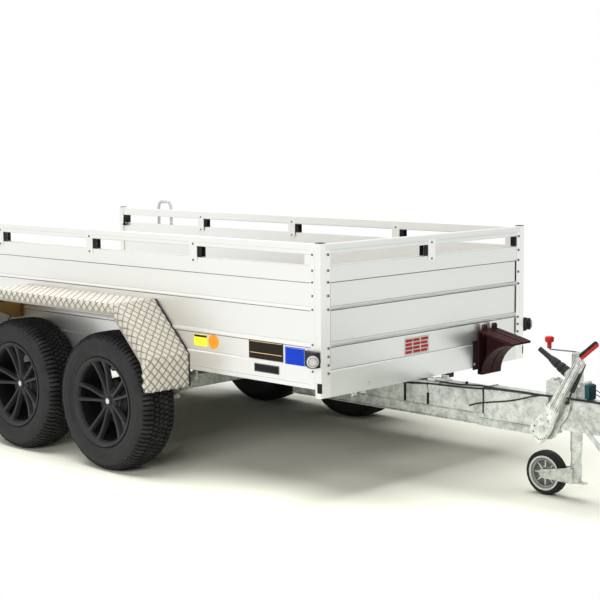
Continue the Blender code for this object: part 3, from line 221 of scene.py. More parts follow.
def alloy_finish(name, base, grain, metallic=0.85):
    """Anodised aluminium: fine lines of the press along the profile, and faint handling marks."""
    finish = Finish(name, base, 0.34, metallic=metallic)
    lines = finish.noise(1.0, 2.0, 0.6, grain)
    clouds = finish.noise(5.0, 3.0, 0.6)
    marks = finish.noise(60.0, 2.0, 0.5).rising(0.66, 0.74)
    finish.feed("Base Color", tone(finish, 0.5, clouds * 0.6 + lines * 0.4, 0.93, 1.05))
    finish.feed("Roughness", 0.27 + 0.10 * lines + 0.06 * clouds + 0.05 * marks)
    finish.feed("Normal", finish.relief(lines * 0.7 + clouds * 0.3, 0.0003, 0.35))
    return finish.material


def galvanised_finish(name, base, spangle=70.0, metallic=0.8):
    """Hot dip zinc: crystals of slightly different grey, with grey bloom over them."""
    finish = Finish(name, base, 0.5, metallic=metallic)
    crystal = finish.node("ShaderNodeSeparateColor", {}, {0: finish.cells(spangle)}, 0)
    small = finish.node("ShaderNodeSeparateColor", {}, {0: finish.cells(spangle * 2.3)}, 1)
    bloom = finish.noise(24.0, 5.0, 0.68)
    clouds = finish.noise(7.0, 3.0, 0.6).rising(0.40, 0.62)
    spots = finish.noise(75.0, 4.0, 0.65).rising(0.56, 0.68)
    share = crystal * 0.16 + small * 0.12 + bloom.rising(0.38, 0.60) * 0.50 + clouds * 0.28 - spots * 0.42
    finish.feed("Base Color", tone(finish, 1.0, share, 0.60, 1.22))
    finish.feed("Roughness", 0.34 + 0.16 * crystal + 0.16 * bloom)
    finish.feed("Normal", finish.relief(finish.noise(160.0, 2.0, 0.5), 0.0004, 0.3))
    return finish.material


def chequer_finish(name, base):
    """Rolled alloy plate: soft sheen with rolling lines and dull patches."""
    finish = Finish(name, base, 0.36, metallic=0.7)
    lines = finish.noise(1.0, 3.0, 0.6, (14.0, 160.0, 14.0))
    patches = finish.noise(7.0, 4.0, 0.6)
    finish.feed("Base Color", tone(finish, 0.8, 0.5 * lines + 0.5 * patches, 0.86, 1.08))
    finish.feed("Roughness", 0.28 + 0.16 * patches + 0.08 * lines)
    finish.feed("Normal", finish.relief(lines + patches * 0.5, 0.0004, 0.3))
    return finish.material


def rubber_finish(name, base, roughness=0.72, dust=0.10, grain=420.0):
    """Vulcanised rubber with a dusting of grey and a fine pebble."""
    finish = Finish(name, base, roughness, specular_ior_level=0.22)
    patches = finish.noise(14.0, 4.0, 0.65)
    pebble = finish.noise(grain, 2.0, 0.5)
    grey = mixed(base, (0.125, 0.122, 0.118), 0.50)
    finish.feed("Base Color", finish.blend(patches.rising(0.35, 0.85) * dust * 4, base, grey))
    finish.feed("Roughness", roughness - 0.08 + 0.16 * patches)
    finish.feed("Normal", finish.relief(pebble, 0.0004, 0.35))
    return finish.material


def paint_finish(name, base, roughness=0.34, peel=260.0):
    """Powder coat: orange peel, and random patches of a darker and lighter tone."""
    finish = Finish(name, base, roughness, specular_ior_level=0.26)
    patches = finish.noise(11.0, 3.0, 0.6)
    finish.feed("Base Color", tone(finish, 0.9, patches, 0.8, 1.35))
    finish.feed("Roughness", roughness - 0.05 + 0.13 * patches)
    finish.feed("Normal", finish.relief(finish.noise(peel, 2.0, 0.5), 0.0002, 0.35))
    return finish.material


def plastic_finish(name, base, roughness=0.4, grain=330.0, marks=0.3, shine=0.16):
    """Moulded plastic: a fine eroded grain and pale rub marks."""
    finish = Finish(name, base, roughness, specular_ior_level=shine)
    rubs = finish.noise(1.0, 4.0, 0.7, (55.0, 55.0, 12.0)).rising(0.56, 0.82)
    clouds = finish.noise(18.0, 3.0, 0.5)
    worn = mixed(base, (0.6, 0.55, 0.52), 0.12)
    body = tone(finish, 0.8, clouds, 0.85, 1.15)
    finish.feed("Base Color", finish.blend(rubs * marks, body, worn))
    finish.feed("Roughness", roughness - 0.04 + 0.1 * clouds + 0.12 * rubs)
    finish.feed("Normal", finish.relief(finish.noise(grain, 2.0, 0.5), 0.00025, 0.4))
    return finish.material


wire_pitch = 0.0025


def board_finish(name, base):
    """Film faced plywood: a fine wire mesh pressed into a brown film."""
    finish = Finish(name, base, 0.55)
    across, along = (finish.axis(number).zigzag(wire_pitch) * (1 / wire_pitch) for number in (0, 1))
    mesh = across.above(along)
    patches = finish.noise(6.0, 4.0, 0.6)
    finish.feed("Base Color", tone(finish, 0.9, patches * 0.7 + mesh * 0.3, 0.8, 1.4))
    finish.feed("Roughness", 0.5 + 0.15 * patches)
    finish.feed("Normal", finish.relief(mesh, 0.0005, 0.5))
    return finish.material


def lens_finish(name, base, clear):
    """Clear moulded lens with fine prisms."""
    finish = Finish(name, base, 0.08, transmission_weight=clear, ior=1.45)
    sockets = {"Vector": finish.place(), "Scale": 60.0}
    rings = finish.node("ShaderNodeTexWave", {"wave_type": "RINGS"}, sockets)
    finish.feed("Base Color", tone(finish, 0.6, rings, 0.9, 1.05))
    finish.feed("Normal", finish.relief(rings, 0.0006, 0.4))
    return finish.material


def zinc_finish(name, base, roughness=0.3):
    """Bright zinc of screws and small fittings."""
    finish = Finish(name, base, roughness, metallic=0.85)
    marks = finish.noise(220.0, 3.0, 0.6)
    finish.feed("Base Color", tone(finish, 0.8, marks, 0.8, 1.1))
    finish.feed("Roughness", roughness - 0.06 + 0.2 * marks)
    finish.feed("Normal", finish.relief(marks, 0.0001, 0.3))
    return finish.material


def palette():
    return bpy.context.scene.trailer_colours


def details():
    return bpy.context.scene.trailer_sizes


def made(name, make, base, *values):
    """The material of that name, made on its first use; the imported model's own ones keep theirs."""
    name = "look_" + name
    return bpy.data.materials.get(name) or make(name, base, *values)


lengthwise = (1.2, 300.0, 300.0)
crosswise = (300.0, 1.2, 300.0)
upright = (300.0, 300.0, 1.2)
over_beads = (1.2, 1.2, 300.0)
# Name of a look: maker, colour, and the maker's other values. A colour is a word of the panel, or
# a word mixed with a colour by a share, or red, green and blue
looks = {
    "alloy_lengthwise": (alloy_finish, "alloy", lengthwise),
    # Painted shade: a darker, greener copy of the alloy for the crosswise pieces
    "alloy_crosswise": (alloy_finish, ("alloy", (0.62, 0.68, 0.64), 0.40), crosswise),
    "alloy_upright": (alloy_finish, "alloy", upright),
    # Painted highlight: a lighter copy of the alloy for the rounded ribs
    "alloy_ribs": (alloy_finish, ("alloy", (1.0, 1.0, 0.99), 0.35), over_beads),
    "galvanised_steel": (galvanised_finish, "steel"),
    "galvanised_underframe": (galvanised_finish, ("steel", (0.2, 0.2, 0.19), 0.3), 45.0),
    "pale_steel": (galvanised_finish, (0.76, 0.78, 0.74), 110.0),
    "disc_steel": (galvanised_finish, (0.33, 0.34, 0.32), 150.0),
    "chequer_plate": (chequer_finish, "chequer"),
    # Painted highlight: the raised bars are a lighter copy of the plate's colour
    "chequer_bars": (chequer_finish, ("chequer", (0.98, 0.94, 0.85), 0.66)),
    # Painted shade: dark strips between the groups of chequer bars
    "chequer_gaps": (paint_finish, (0.20, 0.18, 0.135), 0.6),
    # Painted shade: near black rubber for the floors of the tread grooves
    "tread_groove": (rubber_finish, (0.0035, 0.0035, 0.0033), 0.9, 0.02),
    "tyre_rubber": (rubber_finish, "rubber"),
    "tyre_side_rubber": (rubber_finish, ("rubber", (0.05, 0.05, 0.055), 0.12), 0.60, 0.06, 900.0),
    "soft_rubber": (rubber_finish, (0.018, 0.018, 0.018), 0.55, 0.05),
    "black_paint": (paint_finish, "black"),
    "brake_drum": (paint_finish, (0.007, 0.007, 0.008), 0.6),
    # Painted shade: near black for the well inside the rim
    "wheel_well": (paint_finish, (0.0018, 0.0018, 0.0024), 0.75),
    "dark_ribs": (paint_finish, (0.016, 0.060, 0.068), 0.45),
    # Partly real joints, partly painted shade: dark strips under the ridges and beside the front posts
    "joint_shadow": (paint_finish, (0.075, 0.080, 0.075), 0.7),
    "joint_line": (paint_finish, (0.33, 0.34, 0.33), 0.6),
    # Dark joint lines, and painted shade: dark lines beside edges and dark discs for holes
    "seam": (paint_finish, (0.10, 0.105, 0.10), 0.7),
    "black_plastic": (plastic_finish, (0.009, 0.009, 0.010), 0.42),
    "maroon_plastic": (plastic_finish, "chocks", 0.45, 330.0, 0.3, 0.05),
    "red_plastic": (plastic_finish, "signal", 0.28, 400.0, 0.15),
    "film_faced_board": (board_finish, "board"),
    "clear_lens": (lens_finish, (0.70, 0.72, 0.72), 0.35),
    "red_lens": (lens_finish, (0.50, 0.015, 0.012), 0.25),
    "amber_lens": (lens_finish, (0.62, 0.20, 0.015), 0.25),
    "bright_zinc": (zinc_finish, (0.66, 0.67, 0.66)),
    "dark_zinc": (zinc_finish, (0.20, 0.21, 0.20), 0.4),
    "yellow_zinc": (zinc_finish, (0.34, 0.21, 0.07), 0.32),
    "pressed_steel": (zinc_finish, (0.66, 0.68, 0.66), 0.34),
    "wheel_cap": (zinc_finish, (0.72, 0.73, 0.74), 0.22),
    "lamp_reflector": (zinc_finish, (0.86, 0.87, 0.88), 0.16),
}


def look(name):
    """The material of a line in the table of looks."""
    make, base, *values = looks[name]
    if isinstance(base, str):
        base = tuple(getattr(palette(), base))
    elif isinstance(base[0], str):
        word, other, share = base
        base = mixed(getattr(palette(), word), other, share)
    return made(name, make, base, *values)


node_looks = {
    # The front wall, front rail, rear beam and tailgate take the darker copy of the alloy: painted shade.
    "alloy_lengthwise": "rail_left rail_right wall_left wall_right",
    "alloy_crosswise": "wall_front rail_front rear_beam tailgate",
    "alloy_upright": "post_front_left post_front_right post_rear_left post_rear_right",
    "galvanised_steel": "coupling_head drawbar_beam hoop_left hoop_right jockey_crank jockey_fork jockey_leg "
                        "overrun_housing",
    "pale_steel": "brake_lever jockey_tube",
    "disc_steel": "jockey_rim",
    "galvanised_underframe": "axle_front axle_rear chassis",
    "chequer_plate": "fender_left fender_right",
    "tyre_rubber": "tyre_front_left tyre_front_right tyre_rear_left tyre_rear_right jockey_tyre",
    "soft_rubber": "draw_tube_boot lamp_front_left lamp_front_right light_cable parked_plug",
    "dark_ribs": "ribbed_unit",
    "black_paint": "coupling_handle rim_front_left rim_front_right rim_rear_left rim_rear_right "
                   "strut_cylinder strut_rod chock_holder",
    "maroon_plastic": "chock_left chock_right",
    "red_plastic": "brake_grip",
    "red_lens": "lamp_rear_left lamp_rear_right",
    "film_faced_board": "floor",
}


def inset(outline, distance):
    """The outline with every edge moved inwards; the outline runs counter-clockwise."""
    if not distance:
        return list(outline)
    moved = []
    for number, here in enumerate(outline):
        before = Vector(outline[number - 1])
        point = Vector(here)
        after = Vector(outline[(number + 1) % len(outline)])
        entering = (point - before).normalized()
        leaving = (after - point).normalized()
        inward = Vector((-entering.y - leaving.y, entering.x + leaving.x))
        if inward.length > 1e-6:
            share = max(0.3, inward.length_squared / 2)
            point = point + inward * distance / share
        moved.append(tuple(point))
    return moved


def circle(radius, count):
    """A round outline, counter-clockwise."""
    turns = [math.tau * number / count for number in range(count)]
    return [(radius * math.cos(turn), radius * math.sin(turn)) for turn in turns]


def rectangle(half_length, half_width, corner=0.0, steps=3):
    """A rectangle round the middle, with rounded corners where a corner radius is given."""
    if not corner:
        return [(-half_length, -half_width), (half_length, -half_width),
                (half_length, half_width), (-half_length, half_width)]
    outline = []
    for turn, across, up in ((0, 1, 1), (90, -1, 1), (180, -1, -1), (270, 1, -1)):
        for step in range(steps + 1):
            angle = math.radians(turn + 90 * step / steps)
            outline.append((
                across * (half_length - corner) + corner * math.cos(angle),
                up * (half_width - corner) + corner * math.sin(angle),
            ))
    return outline


def facing_frame(place, direction):
    """A frame whose own Z looks along a direction and whose Y keeps as near to upwards as it can."""
    ahead = Vector(direction).normalized()
    up = Vector((1, 0, 0)) if abs(ahead.z) > 0.99 else Vector((0, 0, 1))
    level = up.cross(ahead).normalized()
    turn = Matrix((level, ahead.cross(level), ahead)).transposed().to_4x4()
    return Matrix.Translation(place) @ turn


def smooth_path(points, between=6):
    """Points on a smooth curve through the given points."""
    spots = [Vector(point) for point in points]
    ends = [spots[0] * 2 - spots[1], *spots, spots[-1] * 2 - spots[-2]]
    path = []
    for number in range(1, len(ends) - 2):
        a, b, c, d = ends[number - 1:number + 3]
        for step in range(between):
            t = step / between
            path.append(0.5 * (2 * b + (c - a) * t + (2 * a - 5 * b + 4 * c - d) * t * t
                               + (3 * b - a - 3 * c + d) * t * t * t))
    path.append(spots[-1])
    return path


class Form:
    """Collects the surfaces of one piece before it becomes an object."""

    def __init__(self, *finishes):
        self.points = []
        self.faces = []
        self.slots = []
        self.finishes = [look(item) if isinstance(item, str) else item for item in finishes]
        self.slot = 0

    def paint(self, slot):
        """Chooses the finish of what is added next."""
        self.slot = slot
        return self

    def add(self, points, faces):
        first = len(self.points)
        self.points += [tuple(point) for point in points]
        self.faces += [tuple(first + corner for corner in face) for face in faces]
        self.slots += [self.slot] * len(faces)

    def lofted(self, rings):
        """A closed skin over rings with the same number of points."""
        count = len(rings[0])
        last = (len(rings) - 1) * count
        faces = []
        for here in range(0, last, count):
            there = here + count
            for corner in range(count):
                after = (corner + 1) % count
                faces.append((here + corner, here + after, there + after, there + corner))
        faces.append(tuple(range(count))[::-1])
        faces.append(tuple(range(last, last + count)))
        self.add([point for ring in rings for point in ring], faces)

    def prism(self, outline, where, start, end, chamfer=0.0):
        """An outline carried from one level to another in a frame, with chamfered ends."""
        levels = [(start, 0.0), (end, 0.0)]
        if chamfer:
            levels = [(start, chamfer), (start + chamfer, 0), (end - chamfer, 0), (end, chamfer)]
        rings = []
        for level, shrink in levels:
            rings.append([where @ Vector((x, y, level)) for x, y in inset(outline, shrink)])
        self.lofted(rings)

    def block(self, first, second, chamfer=0.0):
        """A box between two opposite corners, with chamfered edges."""
        middle = (Vector(first) + Vector(second)) / 2
        half = Vector(abs(value) for value in (Vector(second) - Vector(first)) / 2)
        corner = chamfer and min(chamfer, half.x, half.y)
        outline = rectangle(half.x, half.y, corner, 1)
        self.prism(outline, Matrix.Translation(middle), -half.z, half.z, min(chamfer, half.z))

    def turned(self, profile, where, steps, closed=False):
        """A profile of (radius, height) turned round the frame's own Z."""
        rings = []
        for number in range(steps):
            angle = math.tau * number / steps
            across = (math.cos(angle), math.sin(angle))
            rings.append([where @ Vector((r * across[0], r * across[1], z)) for r, z in profile])
        count = len(profile)
        faces = []
        for number in range(steps):
            here = number * count
            there = (number + 1) % steps * count
            for corner in range(count if closed else count - 1):
                after = (corner + 1) % count
                faces.append((here + corner, there + corner, there + after, here + after))
        self.add([point for ring in rings for point in ring], faces)

    def tube(self, points, radius, sides=8, flat=1.0):
        """A round bar along a path; flat squeezes its section."""
        spots = [Vector(point) for point in points]
        rings = []
        upwards = Vector((0, 0, 1))
        for number, spot in enumerate(spots):
            along = spots[min(number + 1, len(spots) - 1)] - spots[max(number - 1, 0)]
            along.normalize()
            level = upwards.cross(along)
            if level.length < 0.05:
                level = Vector((0, 1, 0)).cross(along)
            level.normalize()
            over = along.cross(level)
            width = radius(number / (len(spots) - 1)) if callable(radius) else radius
            rings.append([spot + level * x * width + over * y * width * flat for x, y in circle(1.0, sides)])
        self.lofted(rings)

    def bolt(self, place, direction, across, height, washer):
        """Hexagon head on a washer."""
        where = facing_frame(place, direction)
        sheet = 0.12 * across
        if washer:
            self.prism(circle(across * washer / 2, 20), where, 0, sheet, sheet * 0.3)
        self.prism(circle(across / math.sqrt(3), 6), where, sheet, sheet + height, sheet)

    def screw(self, place, direction, across, height):
        """Round button head with a socket."""
        where = facing_frame(place, direction)
        radius = across / 2
        profile = [(0.32 * radius, 0.5 * height), (0.36 * radius, height), (0.62 * radius, 0.94 * height)]
        profile += [(0.88 * radius, 0.6 * height), (radius, 0.1 * height), (radius, -0.2 * height)]
        self.turned([(0, 0.45 * height), *profile], where, 14)

    def rivet(self, place, direction, across, height):
        """Domed rivet head."""
        where = facing_frame(place, direction)
        radius = across / 2
        profile = [(0, height), (0.5 * radius, 0.9 * height), (0.85 * radius, 0.55 * height), (radius, 0)]
        self.turned(profile, where, 12)

    def piece(self, name, body=bed, where=None, sharp=35.0):
        """Makes the object, smooth up to an angle, and lets it ride on a body."""
        mesh = bpy.data.meshes.new(name)
        mesh.from_pydata(self.points, [], self.faces)
        for finish in self.finishes:
            mesh.materials.append(finish)
        mesh.polygons.foreach_set("material_index", self.slots)
        shape = bmesh.new()
        shape.from_mesh(mesh)
        bmesh.ops.remove_doubles(shape, verts=shape.verts, dist=1e-6)
        bmesh.ops.recalc_face_normals(shape, faces=shape.faces)
        shape.to_mesh(mesh)
        shape.free()
        mesh.polygons.foreach_set("use_smooth", [True] * len(mesh.polygons))
        mesh.set_sharp_from_angle(angle=math.radians(sharp))
        return placed(name, mesh, body, where)


def placed(name, mesh, body=bed, where=None):
    """An object of that mesh in its place, which rides on a body."""
    item = bpy.data.objects.new(name, mesh)
    bpy.context.scene.collection.objects.link(item)
    if where is not None:
        item.matrix_world = where
    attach(item, body)
    return item


def mirrored(item, name):
    """The same piece on the other side of the trailer."""
    mesh = item.data.copy()
    mesh.transform(Matrix.Scale(-1, 4, (0, 1, 0)))
    mesh.flip_normals()
    return placed(name, mesh)


camera_place = Vector((5.66775, -5.683, 1.811))
camera_forward = Vector((-0.69080, 0.71348, -0.11723)).normalized()
camera_roll = math.radians(-0.43)
camera_lens = 83.457
floor_reach = 14.0
# The pale part of the floor is an oval: its middle along X, its flatness each way, and its soft edge
floor_shift = 0.3
floor_flat_along = 0.13
floor_flat_across = 0.50
floor_white_from = 0.55
floor_white_to = 1.9
fill_light = 0.03
fill_colour = (0.97, 1.0, 0.985, 1)


def stage_camera():
    """Camera fitted to the photo, level apart from a slight roll."""
    level = camera_forward.cross(Vector((0, 0, 1))).normalized()
    upwards = level.cross(camera_forward)
    right = level * math.cos(camera_roll) + upwards * math.sin(camera_roll)
    up = upwards * math.cos(camera_roll) - level * math.sin(camera_roll)
    turn = Matrix((right, up, -camera_forward)).transposed().to_4x4()
    data = bpy.data.cameras.new("camera")
    data.lens = camera_lens
    data.sensor_width = 36.0
    data.clip_end = 100.0
    camera = bpy.data.objects.new("camera", data)
    camera.matrix_world = Matrix.Translation(camera_place) @ turn
    bpy.context.scene.collection.objects.link(camera)
    bpy.context.scene.camera = camera


def seen_directly(finish):
    """1 for what the camera, a reflection or glass shows, and 0 for light on the object."""
    rays = [finish.node("ShaderNodeLightPath", {}, {}, ray) for ray in
            ("Is Camera Ray", "Is Glossy Ray", "Is Transmission Ray")]
    return rays[0].above(rays[1]).above(rays[2])


def stage_floor():
    """Pale floor that keeps the shadow near the trailer and turns to plain white around it."""
    form = bmesh.new()
    bmesh.ops.create_grid(form, x_segments=8, y_segments=8, size=floor_reach)
    mesh = bpy.data.meshes.new("floor_sheet")
    form.to_mesh(mesh)
    form.free()
    sheet = bpy.data.objects.new("studio_floor", mesh)
    bpy.context.scene.collection.objects.link(sheet)
    finish = Finish("studio_floor", (0.80, 0.80, 0.70), 0.9)
    finish.feed("Specular IOR Level", 0.1)
    across = (finish.axis(1) * finish.axis(1)) * floor_flat_across
    along = (finish.axis(0) + floor_shift) * (finish.axis(0) + floor_shift) * floor_flat_along
    edge = (across + along).rising(floor_white_from, floor_white_to)
    white = finish.node("ShaderNodeEmission", {}, {"Color": (1, 1, 1, 1), "Strength": 1.0})
    shader = Signal(finish, finish.shader.outputs[0])
    both = finish.node("ShaderNodeMixShader", {}, {0: edge * seen_directly(finish), 1: shader, 2: white})
    output = next(node for node in finish.tree.nodes if node.type == "OUTPUT_MATERIAL")
    finish.feed("Surface", both, output)
    mesh.materials.append(finish.material)


def stage_world():
    """Plain white where it's seen, and weak even light on the trailer."""
    world = bpy.data.worlds.new("studio")
    world.use_nodes = True
    bpy.context.scene.world = world
    tree = world.node_tree
    tree.nodes.clear()
    holder = Finish.__new__(Finish)
    holder.tree = tree
    backdrop = holder.node("ShaderNodeBackground", {}, {"Color": (1, 1, 1, 1), "Strength": 1.0})
    lighting = holder.node("ShaderNodeBackground", {}, {"Color": fill_colour, "Strength": fill_light})
    both = holder.node("ShaderNodeMixShader", {}, {0: seen_directly(holder), 1: lighting, 2: backdrop})
    output = tree.nodes.new("ShaderNodeOutputWorld")
    holder.feed("Surface", both, output)


# Soft lamps: name, place, aimed at, width, height, power
studio_lamps = (
    ("softbox_top", (-0.6, -0.8, 4.8), (-0.6, -0.8, 0.0), 5.0, 5.4, 600.0),
    ("softbox_right", (2.2, -5.0, 2.2), (-0.5, 0.0, 0.4), 3.0, 1.4, 165.0),
    ("softbox_front", (5.6, 0.4, 5.4), (0.5, 0.0, 0.4), 3.4, 2.0, 100.0),
    ("softbox_left", (-1.0, 4.6, 5.4), (-0.5, 0.0, 0.4), 6.0, 2.0, 25.0),
    ("softbox_rear", (-6.6, 0.0, 5.0), (-1.5, 0.0, 0.4), 3.4, 2.0, 50.0),
)


def stage_lamps():
    for name, place, aim, width, height, power in studio_lamps:
        data = bpy.data.lights.new(name, "AREA")
        data.shape = "RECTANGLE"
        data.size = width
        data.size_y = height
        data.energy = power
        lamp = bpy.data.objects.new(name, data)
        lamp.location = place
        lamp.visible_glossy = False
        lamp.rotation_euler = (Vector(aim) - Vector(place)).to_track_quat("-Z", "Y").to_euler()
        bpy.context.scene.collection.objects.link(lamp)


class TRAILER_OT_stage(bpy.types.Operator):
    """Camera, pale floor, white backdrop and soft lamps"""

    bl_idname = "trailer.stage"
    bl_label = "Stage"

    def execute(self, context):
        context.scene.view_settings.view_transform = "Standard"
        stage_camera()
        stage_floor()
        stage_world()
        stage_lamps()
        return {"FINISHED"}


class TRAILER_OT_finishes(bpy.types.Operator):
    """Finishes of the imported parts"""

    bl_idname = "trailer.finishes"
    bl_label = "Finishes"

    def execute(self, context):
        for name, names in node_looks.items():
            for node in names.split():
                nodes[node].data.materials.clear()
                nodes[node].data.materials.append(look(name))
        return {"FINISHED"}


wheel_names = ("front_right", "front_left", "rear_right", "rear_left")
# Section of the tread from the middle to the sidewall, as (radius, distance from the middle)
tread_line = (
    (0.3815, 0.000), (0.3812, 0.040), (0.3800, 0.060), (0.3772, 0.078), (0.3718, 0.0925),
    (0.3640, 0.1015), (0.3540, 0.1085), (0.3430, 0.1140), (0.3330, 0.1168),
)
sidewall_line = (
    (0.3250, 0.1180), (0.3150, 0.1190), (0.3142, 0.1198), (0.3120, 0.1198), (0.3112, 0.1192),
    (0.2960, 0.1196), (0.2840, 0.1186), (0.2832, 0.1194), (0.2810, 0.1194), (0.2802, 0.1184),
    (0.2700, 0.1152), (0.2615, 0.1112), (0.2570, 0.1118), (0.2525, 0.1098), (0.2490, 0.1050),
    (0.2440, 0.1020), (0.2290, 0.1000),
)
# The grooves get shallower from one distance from the middle to another, down to a least depth
tread_fade_from = 0.085
tread_fade_to = 0.132
tread_least = 0.0012
# Rows of tread blocks: (distance from the middle, start, end), the last two as shares of a pitch
centre_row = ((-0.0120, 0.04, 0.40), (-0.004, 0.11, 0.47), (0.004, -0.02, 0.34), (0.0120, 0.05, 0.41))
middle_row = ((0.0190, 0.31, 0.66), (0.027, 0.21, 0.54), (0.033, 0.34, 0.70), (0.0450, 0.25, 0.61))
shoulder_row = (
    (0.0530, 0.00, 0.34), (0.0680, 0.08, 0.42), (0.0800, 0.06, 0.42), (0.0938, 0.06, 0.42),
    (0.1055, 0.06, 0.42), (0.1177, 0.06, 0.42), (0.1298, 0.08, 0.40),
)
tread_draft = 0.03
wheel_turns = 108


def along_line(line, distance):
    """Point and inward direction at a distance along a line of (radius, across)."""
    travelled = 0.0
    for first, second in zip(line, line[1:]):
        step = Vector(second) - Vector(first)
        if travelled + step.length >= distance or second is line[-1]:
            inward = Vector((-step.y, step.x)).normalized()
            if inward.x > 0:
                inward = -inward
            return Vector(first) + step.normalized() * (distance - travelled), inward
        travelled += step.length
    raise ValueError("the line has no length")


def tread_point(turn, across, sunk):
    """Point of the tread at an angle, at a distance across, below the top by a share of the depth."""
    spot, inward = along_line(tread_line, abs(across))
    fade = 1.0 - max(0.0, min(1.0, (abs(across) - tread_fade_from) / (tread_fade_to - tread_fade_from)))
    spot = spot + inward * sunk * (tread_least + (details().tread_depth - tread_least) * fade)
    height = math.copysign(spot.y, across) if across else 0.0
    return (spot.x * math.cos(turn), spot.x * math.sin(turn), height)


def tread_block(form, row, pitch, shift, mirror):
    rings = []
    for across, start, end in row:
        ring = []
        for share, sunk in ((start, 1.1), (start + tread_draft, 0.0), (end - tread_draft, 0.0), (end, 1.1)):
            turn = mirror * (share + shift) * pitch
            ring.append(tread_point(turn, mirror * across, sunk))
        rings.append(ring)
    form.lofted(rings)


def sunk_line(*distances):
    """Bottom of the grooves at distances from the middle, as (radius, across)."""
    spots = [tread_point(0.0, across, 1.0) for across in distances]
    return [(spot[0], spot[2]) for spot in spots]


def other_side(line):
    return [(radius, -across) for radius, across in line]


def tyre_form():
    """Carcass with plain sidewalls, groove floors painted near black as shade, and the blocks of an
    all-terrain tread.
    """
    form = Form("tyre_rubber", "tyre_side_rubber", "tread_groove")
    pitches = details().tread_pitches
    pitch = math.tau / pitches
    grooves = sunk_line(0.0, 0.02, 0.04, 0.06, 0.0783, 0.0938, 0.1055, 0.1177)
    side = sunk_line(0.1177, 0.1298, 0.1390) + list(sidewall_line)
    middle = Matrix.Identity(4)
    # The groove floors get the near black rubber: painted shade between the blocks.
    form.paint(2).turned(grooves[::-1] + other_side(grooves[1:]), middle, wheel_turns)
    form.paint(1).turned(side, middle, wheel_turns)
    form.turned(other_side(side), middle, wheel_turns)
    form.turned([side[-1], *other_side(side[-1:])], middle, wheel_turns)
    form.paint(0)
    for number in range(pitches):
        for half in (0.0, 0.5):
            tread_block(form, centre_row, pitch, number + half, 1)
            for mirror in (1, -1):
                tread_block(form, middle_row, pitch, number + half, mirror)
                row = shoulder_row if half else shoulder_row[:-1]
                tread_block(form, row, pitch, number + half, mirror)
    return form


rim_outer_line = (
    (0.2285, 0.1000), (0.2400, 0.1035), (0.2455, 0.1075), (0.2460, 0.1115), (0.2436, 0.1146),
    (0.2395, 0.1140), (0.2352, 0.1098), (0.2318, 0.1066), (0.2292, 0.1078), (0.2262, 0.1056),
    (0.2215, 0.0975), (0.2180, 0.0850), (0.2150, 0.0500), (0.2110, -0.0350), (0.2180, -0.0850),
    (0.2330, -0.1100), (0.2450, -0.1130), (0.2460, -0.1070), (0.2285, -0.1000), (0.2130, -0.0300),
    (0.2190, 0.0500),
)
# One bar of a twin spoke: radius, distance from the pair's middle, half width, height of its face
spoke_line = (
    (0.038, 0.0110, 0.0130, 0.0600), (0.062, 0.0135, 0.0112, 0.0640), (0.085, 0.0180, 0.0102, 0.0668),
    (0.115, 0.0245, 0.0100, 0.0702), (0.150, 0.0320, 0.0106, 0.0766), (0.185, 0.0385, 0.0118, 0.0860),
    (0.208, 0.0420, 0.0138, 0.0950), (0.2200, 0.0440, 0.0165, 0.1010),
)
spoke_turn = math.radians(28.0)
spoke_pairs = 5
bolt_circle = 0.056


def spoke_bar(form, turn, hand):
    """One bar: a narrow flat face between sloping flanks."""
    rings = []
    where = Matrix.Rotation(turn, 4, "Z")
    for radius, offset, half, face in spoke_line:
        flank = ((half, 0.030), (half, 0.009), (0.62 * half, 0.0012), (0.35 * half, 0.0))
        middle = hand * offset
        section = [(-across, depth) for across, depth in flank] + list(flank[::-1])
        rings.append([where @ Vector((radius, middle + across, face - depth)) for across, depth in section])
    form.lofted(rings)


def rim_form():
    """Twin spoke alloy wheel in satin black, its well painted near black as shade, nuts, a bare cap and the
    drum behind.
    """
    form = Form("black_paint", "wheel_cap", "brake_drum", "wheel_well")
    middle = Matrix.Identity(4)
    form.turned(rim_outer_line, middle, wheel_turns, True)
    # The well inside the barrel is painted much darker than the rim: painted shade.
    well = [(0.2172, 0.0800), (0.2140, 0.0500), (0.2100, -0.0350), (0.2168, -0.0850)]
    form.paint(3).turned(well, middle, wheel_turns)
    form.paint(0)
    pocket = [(0.0135, -0.020), (0.0135, 0.016), (0.0125, 0.0175)]
    pocket += [(0.0105, 0.016), (0.0105, 0.002), (0, 0.002)]
    for pair in range(spoke_pairs):
        turn = spoke_turn + math.tau * pair / spoke_pairs
        for hand in (-1, 1):
            spoke_bar(form, turn, hand)
        between = turn + math.pi / spoke_pairs
        seat = Vector((bolt_circle * math.cos(between), bolt_circle * math.sin(between), 0.040))
        form.turned(pocket, Matrix.Translation(seat), 20)
        form.bolt(seat + Vector((0, 0, 0.002)), (0, 0, 1), 0.0165, 0.010, 0)
    hub = [(0, 0.060), (0.034, 0.060), (0.036, 0.058), (0.042, 0.0575), (0.050, 0.0520), (0.070, 0.0440)]
    hub += [(0.078, 0.0380), (0.078, 0.020), (0, 0.020)]
    form.turned(hub, middle, 60)
    valve_turn = Matrix.Rotation(spoke_turn + math.pi / spoke_pairs, 4, "Z")
    valve = [(0, 0.022), (0.004, 0.021), (0.004, 0.008), (0.006, 0.006), (0.006, -0.010)]
    form.turned(valve, valve_turn @ Matrix.Translation((0.206, 0, 0.080)), 12)
    cap = [(0.0150, 0.0668), (0.0220, 0.0655), (0.0255, 0.0640), (0.0268, 0.0655), (0.0290, 0.0650)]
    form.turned([*cap, (0.0305, 0.0610), (0.0305, 0.056)], middle, 40)
    form.paint(1).turned([(0, 0.0684), (0.0110, 0.0680), (0.0150, 0.0668)], middle, 40)
    form.paint(2)
    drum = [(0, 0.0330), (0.100, 0.0330), (0.112, 0.0310), (0.120, 0.024), (0.122, -0.060), (0.127, -0.064)]
    form.turned([*drum, (0.127, -0.084), (0, -0.084)], middle, 60)
    return form


